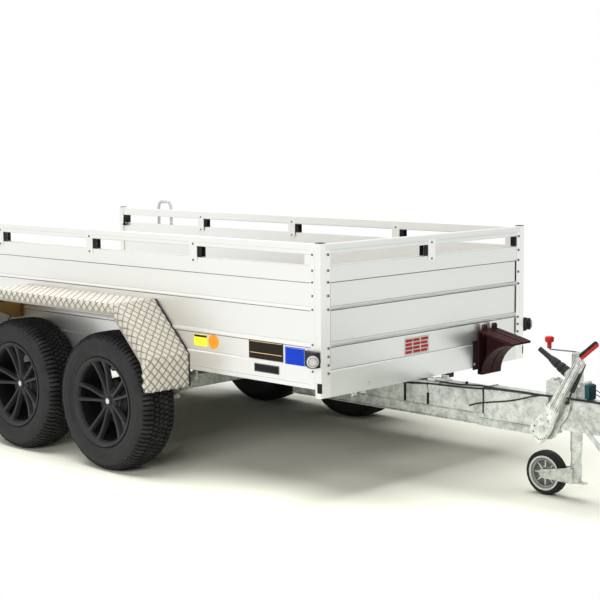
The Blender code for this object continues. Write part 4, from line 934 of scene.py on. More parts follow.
class TRAILER_OT_wheels(bpy.types.Operator):
    """Tyres with their tread and spoked rims on the four wheel bodies"""

    bl_idname = "trailer.wheels"
    bl_label = "Wheels"

    def execute(self, context):
        tyre = rim = None
        for name in wheel_names:
            low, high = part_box("tyre_" + name)
            hand = sides[name.split("_")[1]]
            where = Matrix.Translation((low + high) / 2) @ Matrix.Rotation(-hand * math.pi / 2, 4, "X")
            body = "wheel_" + name
            if tyre is None:
                tyre = tyre_form().piece("tread_tyre_" + name, body, where)
                rim = rim_form().piece("spoked_rim_" + name, body, where)
            else:
                tyre = placed("tread_tyre_" + name, tyre.data, body, where)
                rim = placed("spoked_rim_" + name, rim.data, body, where)
            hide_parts("tyre_" + name)
            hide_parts("rim_" + name)
        return {"FINISHED"}


# The fender plate from rear to front, as (distance from the tandem's middle, height)
tandem_middle = -0.69975
fender_path = (
    (-0.8535, 0.491), (-0.8535, 0.665), (-0.5835, 0.935), (0.5835, 0.935), (0.8535, 0.665), (0.8535, 0.491),
)
fender_inner = 0.8455
fender_outer = 1.122
fender_half_sheet = 0.0015
fender_lip = 0.046
edge_middle = 0.55
bar_group = 5
bar_rise = 0.0018
bar_width = 0.0052


def fender_point(along, across, rise):
    """Point on the right fender's outside: along its bends, across from its inner edge, and above it."""
    travelled = 0.0
    for number, (first, second) in enumerate(zip(fender_path, fender_path[1:])):
        start, end = Vector(first), Vector(second)
        step = (end - start).normalized()
        length = (end - start).length
        if along <= travelled + length or number == len(fender_path) - 2:
            outward = Vector((-step.y, step.x))
            spot = start + step * (along - travelled)
            width = fender_outer - fender_inner
            if across <= width:
                spot = spot + outward * (fender_half_sheet + rise)
                return (tandem_middle + spot.x, -(fender_inner + across), spot.y)
            spot = spot - outward * (across - width)
            return (tandem_middle + spot.x, -(fender_outer + fender_half_sheet + rise), spot.y)
        travelled += length
    raise ValueError("the fender has no length")


def fender_length():
    return sum((Vector(b) - Vector(a)).length for a, b in zip(fender_path, fender_path[1:]))


def chequer_bar(form, along, across, turn, length):
    """A low almond bar pressed out of the plate."""
    half = length / 2
    outline = ((half, 0.0), (0.45 * half, bar_width / 2), (-0.45 * half, bar_width / 2),
               (-half, 0.0), (-0.45 * half, -bar_width / 2), (0.45 * half, -bar_width / 2))
    ridge = ((0.55 * half, 0.0), (-0.55 * half, 0.0))
    points = []
    for shape, rise in ((outline, -0.0003), (ridge, bar_rise)):
        for x, y in shape:
            s = along + x * math.cos(turn) - y * math.sin(turn)
            t = across + x * math.sin(turn) + y * math.cos(turn)
            points.append(fender_point(s, t, rise))
    form.add(points, ((0, 1, 6), (1, 2, 7, 6), (2, 3, 7), (3, 4, 7), (4, 5, 6, 7), (5, 0, 6)))


def cell_edge(form, along, across, turn, length):
    """Painted shade between two groups of bars, drawn as a thin dark strip on the plate."""
    half = 0.0017
    limit = Vector((fender_length() - 0.003, fender_outer - fender_inner + fender_lip - 0.003))
    for part in range(4):
        points = []
        for x, y in ((part, -half), (part + 1, -half), (part + 1, half), (part, half)):
            x = (x / 4 - 0.5) * length
            s = along + x * math.cos(turn) - y * math.sin(turn)
            t = across + x * math.sin(turn) + y * math.cos(turn)
            points.append(Vector((min(max(s, 0.003), limit.x), min(max(t, 0.003), limit.y))))
        if (points[0] - points[1]).length > 0.003 and (points[1] - points[2]).length > 0.001:
            form.add([fender_point(*point, 0.0004) for point in points], ((0, 1, 2, 3),))


def bars_form():
    """Quintet pattern: groups of five bars that change direction from cell to cell."""
    form = Form("chequer_bars", "chequer_gaps")
    cell = details().bar_pitch
    length = details().bar_length
    reach = fender_length()
    width = fender_outer - fender_inner + fender_lip
    diagonal = cell * math.sqrt(0.5)
    rows = int((reach + width) / diagonal) + 2
    gap = 0.004
    for row in range(-rows, rows):
        for column in range(-rows, rows):
            along = (row + column) * diagonal
            across = (row - column) * diagonal
            if not (-cell / 2 < along < reach + cell / 2 and -cell / 2 < across < width + cell / 2):
                continue
            # Dark strips along the cell edges: painted shade.
            form.paint(1)
            for heading in (math.radians(45), math.radians(135)):
                s = along - cell / 2 * math.sin(heading)
                t = across + cell / 2 * math.cos(heading)
                cell_edge(form, s, t, heading, cell)
            # Bars in the lighter copy of the plate's colour: painted highlight.
            form.paint(0)
            turn = math.radians(45 if (row + column) % 2 else 135)
            step = (cell - bar_width) / bar_group
            for number in range(bar_group):
                shift = (number - (bar_group - 1) / 2) * step
                s = along - shift * math.sin(turn)
                t = across + shift * math.cos(turn)
                if gap < s < reach - gap and gap < t < width - gap:
                    chequer_bar(form, s, t, turn, length)
    return form


def edge_form():
    """Rubber strip over the fender's inner edge, along its two slopes."""
    form = Form("soft_rubber")
    low, high = -fender_inner + 0.0005, -fender_inner + 0.0090
    section = ((low, -0.003), (low, 0.0065), (high, 0.0065), (high, -0.003))
    for bends in (fender_path[:3], fender_path[3:]):
        rings = []
        for x, z in bends:
            outward = Vector((x, z - edge_middle)).normalized()
            centre = tandem_middle + x
            rings.append([(centre + outward.x * out, y, z + outward.y * out) for y, out in section])
        form.lofted(rings)
    return form


class TRAILER_OT_fenders(bpy.types.Operator):
    """Raised bars of the chequer plate and the edge strips of both fenders"""

    bl_idname = "trailer.fenders"
    bl_label = "Fenders"

    def execute(self, context):
        bars = bars_form().piece("chequer_bars_right", sharp=20.0)
        mirrored(bars, "chequer_bars_left")
        edge = edge_form().piece("fender_edge_right", sharp=20.0)
        mirrored(edge, "fender_edge_left")
        return {"FINISHED"}


wall_face = 0.8355
front_face = 1.1113
rail_face = 0.841
sill_face = 0.8415
strip_width = 0.030
strip_top = 1.264
# Heights of the screws in the strips beside a front post
side_screws = (1.241, 1.164, 1.107, 1.041, 0.974, 0.802, 0.670)
front_screws = (1.241, 1.164, 1.107, 1.041, 0.974, 0.784, 0.743, 0.701, 0.660)
rail_stubs = (0.21275, -0.67375, -1.56025)
rail_depth = 0.036
bracket_height = 1.2135
# Heights of the dark joints between the planks, with the width of each; the wide ones under the ridges are
# partly painted shade
joints = ((1.1010, 0.0028), (0.9645, 0.0028), (0.9856, 0.0010), (0.7835, 0.0028), (0.8106, 0.0010))


def post_fittings():
    """Strips with their screws beside the right posts, the posts' black caps and a black foot piece."""
    form = Form("alloy_upright", "dark_zinc", "black_plastic")
    low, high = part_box("post_front_right")
    rear_low, rear_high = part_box("post_rear_right")
    wall_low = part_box("wall_right")[0].z
    face = low.y + 0.0008
    for start in (low.x - strip_width, rear_high.x):
        form.block((start, face, wall_low), (start + strip_width, face + 0.006, strip_top), 0.0006)
    end = high.y + strip_width
    form.block((front_face + 0.0006, high.y, low.z), (high.x - 0.0008, end, strip_top), 0.0006)
    form.paint(1)
    for height in side_screws:
        for station in (low.x - strip_width / 2, rear_high.x + strip_width / 2):
            form.screw((station, face, height), (0, -1, 0), 0.0125, 0.0040)
    for height in front_screws:
        form.screw((high.x - 0.0008, high.y + strip_width / 2, height), (1, 0, 0), 0.0150, 0.0060)
    form.paint(2)
    for near, far in ((low, high), (rear_low, rear_high)):
        middle = (near + far) / 2
        half = (far.x - near.x) / 2 - 0.0008
        top = far.z - middle.z
        form.prism(rectangle(half, half, 0.006, 4), Matrix.Translation(middle), top, top + 0.003, 0.001)
    form.block((high.x - 0.0250, low.y - 0.0014, 0.567), (high.x + 0.0012, low.y + 0.0085, 0.616), 0.0015)
    return form


def joint_lines():
    """Dark joints between the planks of the right and the front wall, the wide ones under the ridges partly
    painted shade, and the grooves of the rails.
    """
    form = Form("joint_shadow", "joint_line")
    side_low, side_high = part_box("wall_right")
    front_low, front_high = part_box("wall_front")
    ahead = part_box("post_front_right")[0].x - strip_width
    for height, width in joints:
        # Wide dark strips under the ridges: joints, and painted shade of the ridges.
        form.paint(0 if width > 0.002 else 1)
        form.block((side_low.x, -wall_face - 0.0004, height), (ahead, -wall_face + 0.001, height + width))
        over = height + width
        form.block((front_face - 0.001, front_low.y, height), (front_face + 0.0004, front_high.y, over))
    form.paint(1)
    form.block((side_low.x, -wall_face - 0.0004, 0.6905), (ahead, -wall_face + 0.001, 0.6920))
    form.block((side_low.x, -sill_face - 0.0003, 0.6050), (ahead, -sill_face + 0.001, 0.6064))
    form.block((front_face - 0.001, front_low.y, 0.6725), (front_face + 0.0004, front_high.y, 0.6742))
    form.block((side_low.x, -rail_face - 0.0003, 1.2625), (side_high.x, -rail_face + 0.001, 1.2633))
    rail_low, rail_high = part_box("rail_front")
    form.block((rail_high.x - 0.001, rail_low.y, 1.2625), (rail_high.x + 0.0003, rail_high.y, 1.2633))
    return form


def bracket_pair(form, place, along, outward):
    """A plate over a rail stub on both faces with two screws each, and the black filling beside it."""
    along = Vector(along)
    outward = Vector(outward)
    upright_axis = Vector((0, 0, 1))
    where = Matrix((along, upright_axis, along.cross(upright_axis))).transposed().to_4x4()
    where.translation = Vector(place)
    away = 1 if where.to_3x3().col[2].dot(outward) > 0 else -1
    shifted = where @ Matrix.Translation((-0.010, 0.0, 0.0))
    for face, hand in ((0.0, 1), (-rail_depth, -1)):
        start = away * (face - 0.0010 * hand)
        end = away * (face + 0.0020 * hand)
        form.paint(0)
        form.prism(rectangle(0.0295, 0.055, 0.003, 2), shifted, min(start, end), max(start, end), 0.0006)
        form.paint(1)
        for height in (0.0405, -0.0450):
            spot = shifted @ Vector((0.0, height, end))
            form.screw(spot, outward * hand, 0.0130, 0.0035)
    form.paint(2)
    inside = where @ Matrix.Translation((0.0345, 0.0, 0.0))
    for face, hand in ((0.0, 1), (-rail_depth, -1)):
        depths = sorted((away * (face - 0.0015 * hand), away * (face - 0.0045 * hand)))
        form.prism(rectangle(0.0150, 0.0275), inside, *depths, 0.001)


def side_brackets():
    form = Form("alloy_upright", "dark_zinc", "black_plastic")
    for station in rail_stubs:
        bracket_pair(form, (station, -rail_face, bracket_height), (1, 0, 0), (0, -1, 0))
    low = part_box("post_front_right")[0]
    form.paint(0).block((low.x - 0.0700, -0.838, 1.186), (low.x - strip_width, -0.812, 1.2410))
    return form


class TRAILER_OT_bed(bpy.types.Operator):
    """Strips, screws, caps, joints and rail brackets of the load bed"""

    bl_idname = "trailer.bed"
    bl_label = "Load bed"

    def execute(self, context):
        pieces = {"post_strips": post_fittings, "plank_joints": joint_lines, "rail_brackets": side_brackets}
        for name, make in pieces.items():
            item = make().piece(name + "_right")
            mirrored(item, name + "_left")
        form = Form("alloy_upright", "dark_zinc", "black_plastic")
        bracket_pair(form, (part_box("rail_front")[1].x, 0, bracket_height), (0, -1, 0), (1, 0, 0))
        form.piece("rail_bracket_front")
        return {"FINISHED"}


lever_pivot = Vector((1.90175, 0.0, 0.392))
lever_direction = Vector((0.4806, 0.0, 0.8770))
lever_aside = Vector((0.8770, 0.0, -0.4806))
lever_face = -0.115
beam_half = 0.055
housing_half = 0.061
# Cable ties: place along the beam, lowest point, times the common width, half width and top of what
# they hold
ties = (
    (0.992, 0.407, 1.9, beam_half + 0.001, 0.531),
    (1.148, 0.407, 1.9, beam_half + 0.001, 0.531),
    (1.510, 0.395, 1.0, housing_half + 0.001, 0.539),
)
tie_thickness = 0.0013
harness_route = (
    (0.920, -0.0600, 0.5030), (1.040, -0.0600, 0.5080), (1.164, -0.0600, 0.5190), (1.300, -0.0600, 0.5230),
    (1.400, -0.0600, 0.5270), (1.475, -0.0610, 0.5320), (1.560, -0.0600, 0.5400), (1.640, -0.0570, 0.5430),
    (1.730, -0.0570, 0.5460), (1.800, -0.0560, 0.5450), (1.860, -0.0520, 0.5420),
)
branch_route = (
    (1.425, -0.0640, 0.4380), (1.480, -0.0645, 0.4560), (1.560, -0.0650, 0.4720), (1.650, -0.0650, 0.4880),
    (1.730, -0.0650, 0.5080), (1.800, -0.0640, 0.5300), (1.845, -0.0580, 0.5420),
)
unit_wires = (
    ((2.100, -0.006, 0.600), (2.135, -0.010, 0.596), (2.170, -0.012, 0.580), (2.200, -0.014, 0.556),
     (2.216, -0.015, 0.531)),
    ((2.100, 0.012, 0.575), (2.130, 0.010, 0.568), (2.160, 0.006, 0.555), (2.185, 0.002, 0.531)),
)


def tie(form, station, lowest, times, half, top):
    """A cable tie over the beam with its head and a curled tail."""
    width = details().tie_width * times
    thick = tie_thickness
    loop = ((half, lowest), (half, top), (-half, top), (-half, lowest))
    for (y, z), (far_y, far_z) in zip(loop, loop[1:]):
        low = (station - width / 2, min(y, far_y) - thick, min(z, far_z))
        high = (station + width / 2, max(y, far_y) + thick, max(z, far_z) + thick)
        form.block(low, high, 0.0004)
    side = -half - thick
    form.block((station - 0.004, side - 0.004, top - 0.016), (station + 0.004, side, top - 0.006), 0.001)
    tail = ((station, side - 0.002, top - 0.010), (station + 0.003, side - 0.006, top - 0.035),
            (station + 0.006, side - 0.005, top - 0.065), (station + 0.004, side - 0.003, top - 0.095))
    form.tube(smooth_path(tail, 4), lambda share: 0.0022 * (1 - 0.4 * share), 6, 0.5)


def drawbar_cables():
    """Harness along the beam, the branch that joins it, the ties and the wires of the ribbed unit."""
    form = Form("soft_rubber", "black_plastic")
    form.tube(smooth_path(harness_route), 0.0048, 10)
    form.tube(smooth_path(branch_route), 0.0040, 10)
    for route in unit_wires:
        form.tube(smooth_path(route), 0.0022, 8)
    form.paint(1)
    for sizes in ties:
        tie(form, *sizes)
    return form


def drawbar_fittings():
    """Saddle, flange strips, bolts, and thin dark lines of painted shade along the edges of the beam and its
    housing.
    """
    form = Form("galvanised_steel", "bright_zinc", "black_plastic", "seam")
    form.block((1.1225, -0.060, 0.5305), (1.222, 0.060, 0.5350), 0.001)
    for side in (-1, 1):
        cheek = side * beam_half
        plate = side * housing_half
        form.block((1.1225, cheek + side * 0.0006, 0.470), (1.222, cheek + side * 0.0050, 0.5350), 0.001)
        form.block((1.150, cheek - side * 0.0034, 0.5345), (1.196, cheek + side * 0.0090, 0.5500), 0.002)
        form.block((1.4900, plate + side * 0.0004, 0.3760), (1.8300, plate + side * 0.0060, 0.3830), 0.001)
        form.block((1.4900, plate + side * 0.0004, 0.3900), (1.5200, plate + side * 0.0060, 0.4080), 0.001)
    form.paint(1)
    for station, height in ((1.7068, 0.466), (1.5298, 0.457), (1.560, 0.505), (1.790, 0.505)):
        for side in (-1, 1):
            form.rivet((station, side * housing_half, height), (0, side, 0), 0.022, 0.0070)
            form.bolt((station, side * (housing_half + 0.0035), height), (0, side, 0), 0.013, 0.0045, 0)
    for station in (1.142, 1.202):
        for side in (-1, 1):
            form.bolt((station, side * (beam_half + 0.005), 0.500), (0, side, 0), 0.013, 0.005, 1.6)
    form.rivet((1.8990, -0.016, 0.6200), (0, 0, 1), 0.030, 0.011)
    form.bolt((1.905, 0.018, 0.6200), (0, 0, 1), 0.017, 0.007, 1.5)
    form.paint(2)
    form.block((1.1000, 0.1210, 0.5150), (1.1160, 0.2080, 0.5405), 0.002)
    form.block((1.3540, -0.0080, 0.5305), (1.3640, 0.0080, 0.5460), 0.002)
    # Thin dark lines along the housing's edges and the beam's step and lower edge: painted shade.
    form.paint(3)
    for side in (-1, 1):
        outer, inner = side * (housing_half + 0.0002), side * (housing_half - 0.0005)
        form.block((1.4900, outer, 0.3835), (1.8950, inner, 0.3850))
        form.block((1.8900, outer, 0.3850), (1.8915, inner, 0.5300))
        outer, inner = side * (beam_half + 0.0002), side * (beam_half - 0.0005)
        form.block((0.150, outer, 0.4060), (1.487, inner, 0.4072))
        form.block((0.150, outer, 0.3500), (1.487, inner, 0.3510))
    return form


class TRAILER_OT_drawbar(bpy.types.Operator):
    """Cables, ties, saddle, bolts and seams of the drawbar"""

    bl_idname = "trailer.drawbar"
    bl_label = "Drawbar"

    def execute(self, context):
        drawbar_cables().piece("drawbar_cables")
        drawbar_fittings().piece("drawbar_fittings")
        return {"FINISHED"}


def lever_place(along, across, y):
    return lever_pivot + lever_direction * along + lever_aside * across + Vector((0, y, 0))


dark_rise = 0.0006
# Raised edges and dark lines on the lever, the dark lines painted shade: look, middle across, half width,
# start, end, rise, chamfer
lever_lines = (
    (0, -0.0070, 0.0028, 0.150, 0.404, 0.0028, 0.0008), (0, 0.0235, 0.0028, 0.150, 0.404, 0.0028, 0.0008),
    (2, -0.0108, 0.0018, 0.120, 0.398, dark_rise, 0.0), (2, -0.0020, 0.0011, 0.120, 0.398, dark_rise, 0.0),
    (2, 0.0185, 0.0011, 0.120, 0.398, dark_rise, 0.0), (2, 0.0273, 0.0018, 0.120, 0.398, dark_rise, 0.0),
    (2, -0.0015, 0.0235, 0.1330, 0.1345, dark_rise, 0.0),
)
# Holes of the lever, drawn as dark discs of painted shade: place along and across it, radius
lever_holes = (
    (0.055, 0.012, 0.0035), (0.078, -0.008, 0.0028), (0.098, 0.010, 0.0030), (0.036, -0.030, 0.0035),
    (-0.012, -0.042, 0.0060), (0.115, -0.010, 0.0022), (-0.040, -0.034, 0.0045), (0.070, 0.022, 0.0022),
)


def lever_form():
    """Edges, grooves drawn as dark lines of painted shade, holes as dark discs of painted shade, bolts and
    toothed cheek of the pressed lever.
    """
    form = Form("galvanised_steel", "bright_zinc", "seam")
    where = Matrix((lever_direction, lever_aside, lever_direction.cross(lever_aside))).transposed().to_4x4()
    where.translation = lever_pivot
    away = where.to_3x3().col[2].y
    near = away * lever_face

    def on_face(outline, rise, chamfer=0.0):
        levels = sorted((near - away * 0.0004, near - away * rise))
        form.prism(outline, where, *levels, chamfer)

    # Look 2 draws dark lines beside the raised edges: painted shade.
    for slot, across, half, start, end, rise, chamfer in lever_lines:
        form.paint(slot)
        low, high = across - half, across + half
        on_face([(start, low), (end, low), (end, high), (start, high)], rise, chamfer)
    # Holes as dark discs: painted shade.
    for along, across, radius in lever_holes:
        on_face([(along + x, across + y) for x, y in circle(radius, 12)], dark_rise)
    # Dark discs of the toothed cheek: painted shade.
    for number in range(7):
        turn = math.radians(100 + 17 * number)
        along, across = -0.006 + 0.050 * math.cos(turn), 0.004 + 0.034 * math.sin(turn)
        on_face([(along + x, across + y) for x, y in circle(0.0036, 10)], dark_rise)
    form.paint(1)
    for along, across, size_across in ((0.0, 0.0, 0.026), (0.396, 0.0080, 0.015)):
        spot = lever_place(along, across, lever_face)
        form.bolt(spot, (0, -1, 0), size_across, 0.006, 1.45)
        form.rivet(spot + Vector((0, -0.0065, 0)), (0, -1, 0), size_across * 0.55, 0.004)
    form.rivet(lever_place(0.048, 0.018, lever_face), (0, -1, 0), 0.012, 0.003)
    return form


def grip_form():
    """Grip with an oval section: black above, red below, with a rounded end."""
    form = Form("black_plastic", "red_plastic")
    low = Vector((2.1062, -0.1025, 0.7630))
    along = Vector((0.7643, 0.0, 0.6448))
    above = Vector((-0.6448, 0.0, 0.7643))
    across = Vector((0, 1, 0))
    stations = ((0.000, 0.72), (0.004, 0.90), (0.014, 1.0), (0.060, 0.94), (0.095, 0.98), (0.110, 0.96),
                (0.1150, 0.80), (0.1172, 0.45))
    for slot, start, end in ((0, -8, 188), (1, 188, 352)):
        form.paint(slot)
        rings = []
        for reach, share in stations:
            ring = []
            grown = share if slot == 0 else share * 0.97
            for step in range(13):
                turn = math.radians(start + (end - start) * step / 12)
                ring.append(low + along * reach + across * (0.0130 * grown * math.cos(turn))
                            + above * (0.0165 * grown * math.sin(turn)))
            rings.append(ring)
        form.lofted(rings)
    return form


class TRAILER_OT_hand_brake(bpy.types.Operator):
    """Pressed details of the brake lever and its two-coloured grip"""

    bl_idname = "trailer.hand_brake"
    bl_label = "Hand brake"

    def execute(self, context):
        lever_form().piece("lever_details", "hand_brake")
        grip = grip_form().piece("two_tone_grip", "hand_brake")
        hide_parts("brake_grip")
        return {"FINISHED"}


jockey_top = Vector((1.94475, 0.125, 0.735))
knob_foot = Vector((1.7775, 0.125, 0.735))


def crank_form():
    """Bent crank with its red knob, and the cap of the jockey tube."""
    form = Form("dark_zinc", "red_plastic", "galvanised_steel", "seam")
    path = [jockey_top + Vector((0, 0, 0.004)), jockey_top + Vector((-0.010, 0, 0.0095))]
    for reach, rise in ((0.020, 0.0075), (0.003, 0.010), (0.0, 0.020)):
        path.append(knob_foot + Vector((reach, 0, rise)))
    form.tube(smooth_path(path, 5), 0.0034, 10)
    knob = [(0, 0.0730), (0.0150, 0.0725), (0.0205, 0.0700), (0.0228, 0.0655), (0.0228, 0.0500)]
    knob += [(0.0205, 0.0450), (0.0130, 0.0410), (0.0110, 0.0360), (0.0110, 0.0140)]
    knob += [(0.0090, 0.0120), (0, 0.0120)]
    form.paint(1).turned(knob, Matrix.Translation(knob_foot), 28)
    above = Matrix.Translation(jockey_top)
    cap = [(0, 0.012), (0.008, 0.012), (0.010, 0.008), (0.024, 0.0065), (0.0290, 0.0040)]
    form.paint(2).turned([*cap, (0.0298, -0.0060), (0.0280, -0.0065)], above, 32)
    # Dark ring where the cap meets the tube: painted shade.
    form.paint(3).turned([(0.0302, -0.0070), (0.0305, -0.0078), (0.0302, -0.0086)], above, 32)
    return form


class TRAILER_OT_jockey_wheel(bpy.types.Operator):
    """Crank with its red knob, and the cap of the tube"""

    bl_idname = "trailer.jockey_wheel"
    bl_label = "Jockey wheel"

    def execute(self, context):
        crank = crank_form().piece("crank_with_knob")
        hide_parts("jockey_crank")
        return {"FINISHED"}


sign_plane = 0.8358
sign_levels = (0.0003, 0.0011, 0.0002)
sign_values = (0.35, 700.0, 0.05)
frame_lines = ((0, 1), (0, -1), (1, 0), (-1, 0))
# Plates on the right wall: name, low and high corner as (X, Z), wall plane, plate and line colours,
# distance of the lines from the edge, half their width, and their places as shares across and up
side_plates = (
    ("brown", (0.6110, 0.693), (0.8560, 0.788), sign_plane, ((0.012, 0.008, 0.005), (0.70, 0.52, 0.27)),
     0.007, 0.0013, ((0, 1), (0, -0.42))),
    ("blue", (0.8680, 0.681), (1.0060, 0.776), sign_plane, ((0.003, 0.034, 0.40), (0.45, 0.60, 0.90)),
     0.004, 0.0006, frame_lines),
    ("small", (0.6550, 0.628), (0.8330, 0.671), 0.8418, ((0.007, 0.007, 0.008), (0.30, 0.30, 0.29)),
     0.003, 0.0006, frame_lines),
    ("yellow", (0.1930, 0.715), (0.2960, 0.776), sign_plane, ((0.93, 0.76, 0.045), (0.05, 0.045, 0.03)),
     0.0, 0.0, ()),
)


def plate_form(name, low, high, face, colours, edge, thin, lines):
    """Bare plate with plain lines in a second colour."""
    form = Form(*(made("sign_%s_%d" % (name, number), plastic_finish, tint, *sign_values)
                  for number, tint in enumerate(colours)))
    half = ((high[0] - low[0]) / 2, (high[1] - low[1]) / 2)
    where = facing_frame(((low[0] + high[0]) / 2, -face, (low[1] + high[1]) / 2), (0, -1, 0))
    form.prism(rectangle(*half, 0.003, 2), where, *sign_levels)
    form.paint(1)
    for across, up in lines:
        size_x = thin if across else half[0] - edge
        size_z = thin if up else half[1] - edge
        spot = Matrix.Translation((across * (half[0] - edge), up * (half[1] - edge), 0))
        form.prism(rectangle(size_x, size_z), where @ spot, 0.0010, 0.0014)
    return form


def round_sign_form():
    """Plain round sign, and a dark bar on the yellow plate."""
    form = Form(made("sign_orange", plastic_finish, (0.90, 0.27, 0.022), *sign_values), "black_plastic")
    form.prism(circle(0.0385, 48), facing_frame((0.3440, -sign_plane, 0.746), (0, -1, 0)), *sign_levels)
    form.paint(1).block((0.1955, -0.8371, 0.7625), (0.2935, -0.8368, 0.7735))
    return form


def label_form():
    """White label on the front wall, with red bars in four rows and three columns."""
    form = Form(made("sign_red", plastic_finish, (0.42, 0.030, 0.035), 0.4, 700.0, 0.3),
                made("sign_white", plastic_finish, (0.62, 0.62, 0.60), 0.4, 700.0, 0.1))
    rows, columns = 4, 3
    low, high = Vector((-0.205, 0.678)), Vector((-0.003, 0.768))
    form.paint(1)
    form.block((front_face + 0.0003, low.x, low.y), (front_face + 0.0009, high.x, high.y), 0.0002)
    step_y = (high.x - low.x - 0.012) / columns
    step_z = (high.y - low.y - 0.010) / rows
    form.paint(0)
    for column in range(columns):
        for row in range(rows):
            y = low.x + 0.008 + column * step_y
            z = low.y + 0.007 + row * step_z
            width = step_y - (0.005 if (row + column) % 2 else 0.011)
            form.block((front_face + 0.0008, y, z), (front_face + 0.0012, y + width, z + step_z - 0.006))
    return form


class TRAILER_OT_signs(bpy.types.Operator):
    """Bare plates and stickers on the right wall and the front wall"""

    bl_idname = "trailer.signs"
    bl_label = "Plates and stickers"

    def execute(self, context):
        for name, *sizes in side_plates:
            plate_form(name, *sizes).piece("plate_" + name)
        round_sign_form().piece("round_sign")
        label_form().piece("warning_label")
        return {"FINISHED"}


# Round parts of a front lamp: look, steps round, and line as (radius, height)
lamp_rings = (
    (0, 32, ((0.0150, -0.024), (0.0325, -0.014), (0.0345, 0.0030), (0.0330, 0.0062), (0.0302, 0.0050))),
    (1, 32, ((0.0302, 0.0030), (0.0295, 0.0085), (0.0245, 0.0120), (0.0130, 0.0142), (0, 0.0150))),
    (2, 24, ((0.0105, 0.0130), (0.0115, 0.0156), (0.0130, 0.0152), (0.0140, 0.0130))),
    (2, 16, ((0, 0.0158), (0.0035, 0.0156), (0.0045, 0.0140))),
    (0, 28, ((0.0205, 0.0125), (0.0210, 0.0144), (0.0224, 0.0136), (0.0226, 0.0118))),
)


def front_lens_form():
    """Collar, clear lens and bright rings of a front lamp."""
    low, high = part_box("lamp_front_right")
    form = Form("black_plastic", "clear_lens", "lamp_reflector")
    where = facing_frame((high.x - 0.0080, low.y + 0.0100, (low.z + high.z) / 2), (1, -0.8, 0))
    for slot, steps_round, line in lamp_rings:
        form.paint(slot).turned(line, where, steps_round)
    return form


def tail_lens_form():
    """Red and amber lenses of a tail lamp, with dark bars between them."""
    low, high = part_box("lamp_rear_right")
    form = Form("red_lens", "amber_lens", "black_plastic")
    wide = high.y - low.y
    for slot, start, end in ((0, 0.02, 0.47), (1, 0.50, 0.72), (0, 0.75, 0.98)):
        near = (low.x - 0.006, low.y + wide * start, low.z + 0.005)
        form.paint(slot).block(near, (low.x + 0.001, low.y + wide * end, high.z - 0.005), 0.003)
    for start in (0.485, 0.735):
        y = low.y + wide * start
        near = (low.x - 0.0035, y - 0.002, low.z + 0.004)
        form.paint(2).block(near, (low.x + 0.001, y + 0.002, high.z - 0.004))
    return form


class TRAILER_OT_lamps(bpy.types.Operator):
    """Collars and clear lenses of the front lamps, and the lenses of the tail lamps"""

    bl_idname = "trailer.lamps"
    bl_label = "Lamps"

    def execute(self, context):
        lamp = front_lens_form().piece("front_lamp_lens_right")
        mirrored(lamp, "front_lamp_lens_left")
        lamp = tail_lens_form().piece("tail_lamp_lens_right")
        mirrored(lamp, "tail_lamp_lens_left")
        return {"FINISHED"}


chock_top = 0.7452
chock_fall = 0.052


def chock_form(side):
    """Two raised ribs, and the joint line and the eye of a wheel chock drawn as dark marks of painted shade.
    """
    low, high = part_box("chock_" + side)
    form = Form("maroon_plastic", "seam")
    middle = (low.y + high.y) / 2
    for start, end in ((low.y + 0.003, middle - 0.004), (middle + 0.004, high.y - 0.003)):
        rings = []
        for share, rise in ((0.04, 0.0), (0.10, 0.0025), (0.90, 0.0025), (0.955, 0.0)):
            x = low.x + share * (high.x - low.x)
            z = chock_top - chock_fall * share
            foot = [(x, start, z - 0.001), (x, end, z - 0.001)]
            rings.append([*foot, (x, end - 0.0015, z + rise), (x, start + 0.0015, z + rise)])
        form.lofted(rings)
    # Dark strip at the joint and dark disc in the eye: painted shade.
    form.paint(1)
    near = (low.x + 0.006, middle - 0.0030, chock_top - 0.0420)
    form.block(near, (low.x + 0.008, middle + 0.0030, chock_top))
    eye = facing_frame((low.x + 0.014, middle - 0.0113, chock_top + 0.020), (0, -1, 0))
    form.prism(circle(0.0048, 16), eye, 0.0, 0.0006)
    return form


def holder_form():
    """Middle rib and two screws of the chock holder."""
    form = Form("black_plastic", "bright_zinc")
    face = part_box("chock_holder")[1].x
    form.block((face, 0.4960, 0.540), (face + 0.006, 0.4990, 0.690), 0.001)
    form.paint(1)
    for y in (0.3815, 0.5960):
        form.bolt((face, y, 0.562), (1, 0, 0), 0.011, 0.004, 1.5)
    return form


class TRAILER_OT_chocks(bpy.types.Operator):
    """Ribs and eyes of the wheel chocks, and the holder's rib and screws"""

    bl_idname = "trailer.chocks"
    bl_label = "Chocks"

    def execute(self, context):
        for side in ("left", "right"):
            chock_form(side).piece("chock_ribs_" + side)
        holder_form().piece("chock_holder_fittings")
        return {"FINISHED"}


jockey_hub = Vector((1.77275, 0.125, 0.113))
# Rings of the pressed wheel: look, steps round, and line as (radius, height)
disc_rings = (
    (0, 48, ((0.0765, 0.0190), (0.0775, 0.0265), (0.0800, 0.0295), (0.0860, 0.0303), (0.0885, 0.0298),
             (0.0890, 0.0280))),
    (1, 48, ((0.0700, 0.0190), (0.0705, 0.0215), (0.0755, 0.0225), (0.0765, 0.0190))),
    (0, 32, ((0.0178, 0.0100), (0.0205, 0.0150), (0.0240, 0.0145), (0.0265, 0.0100))),
)


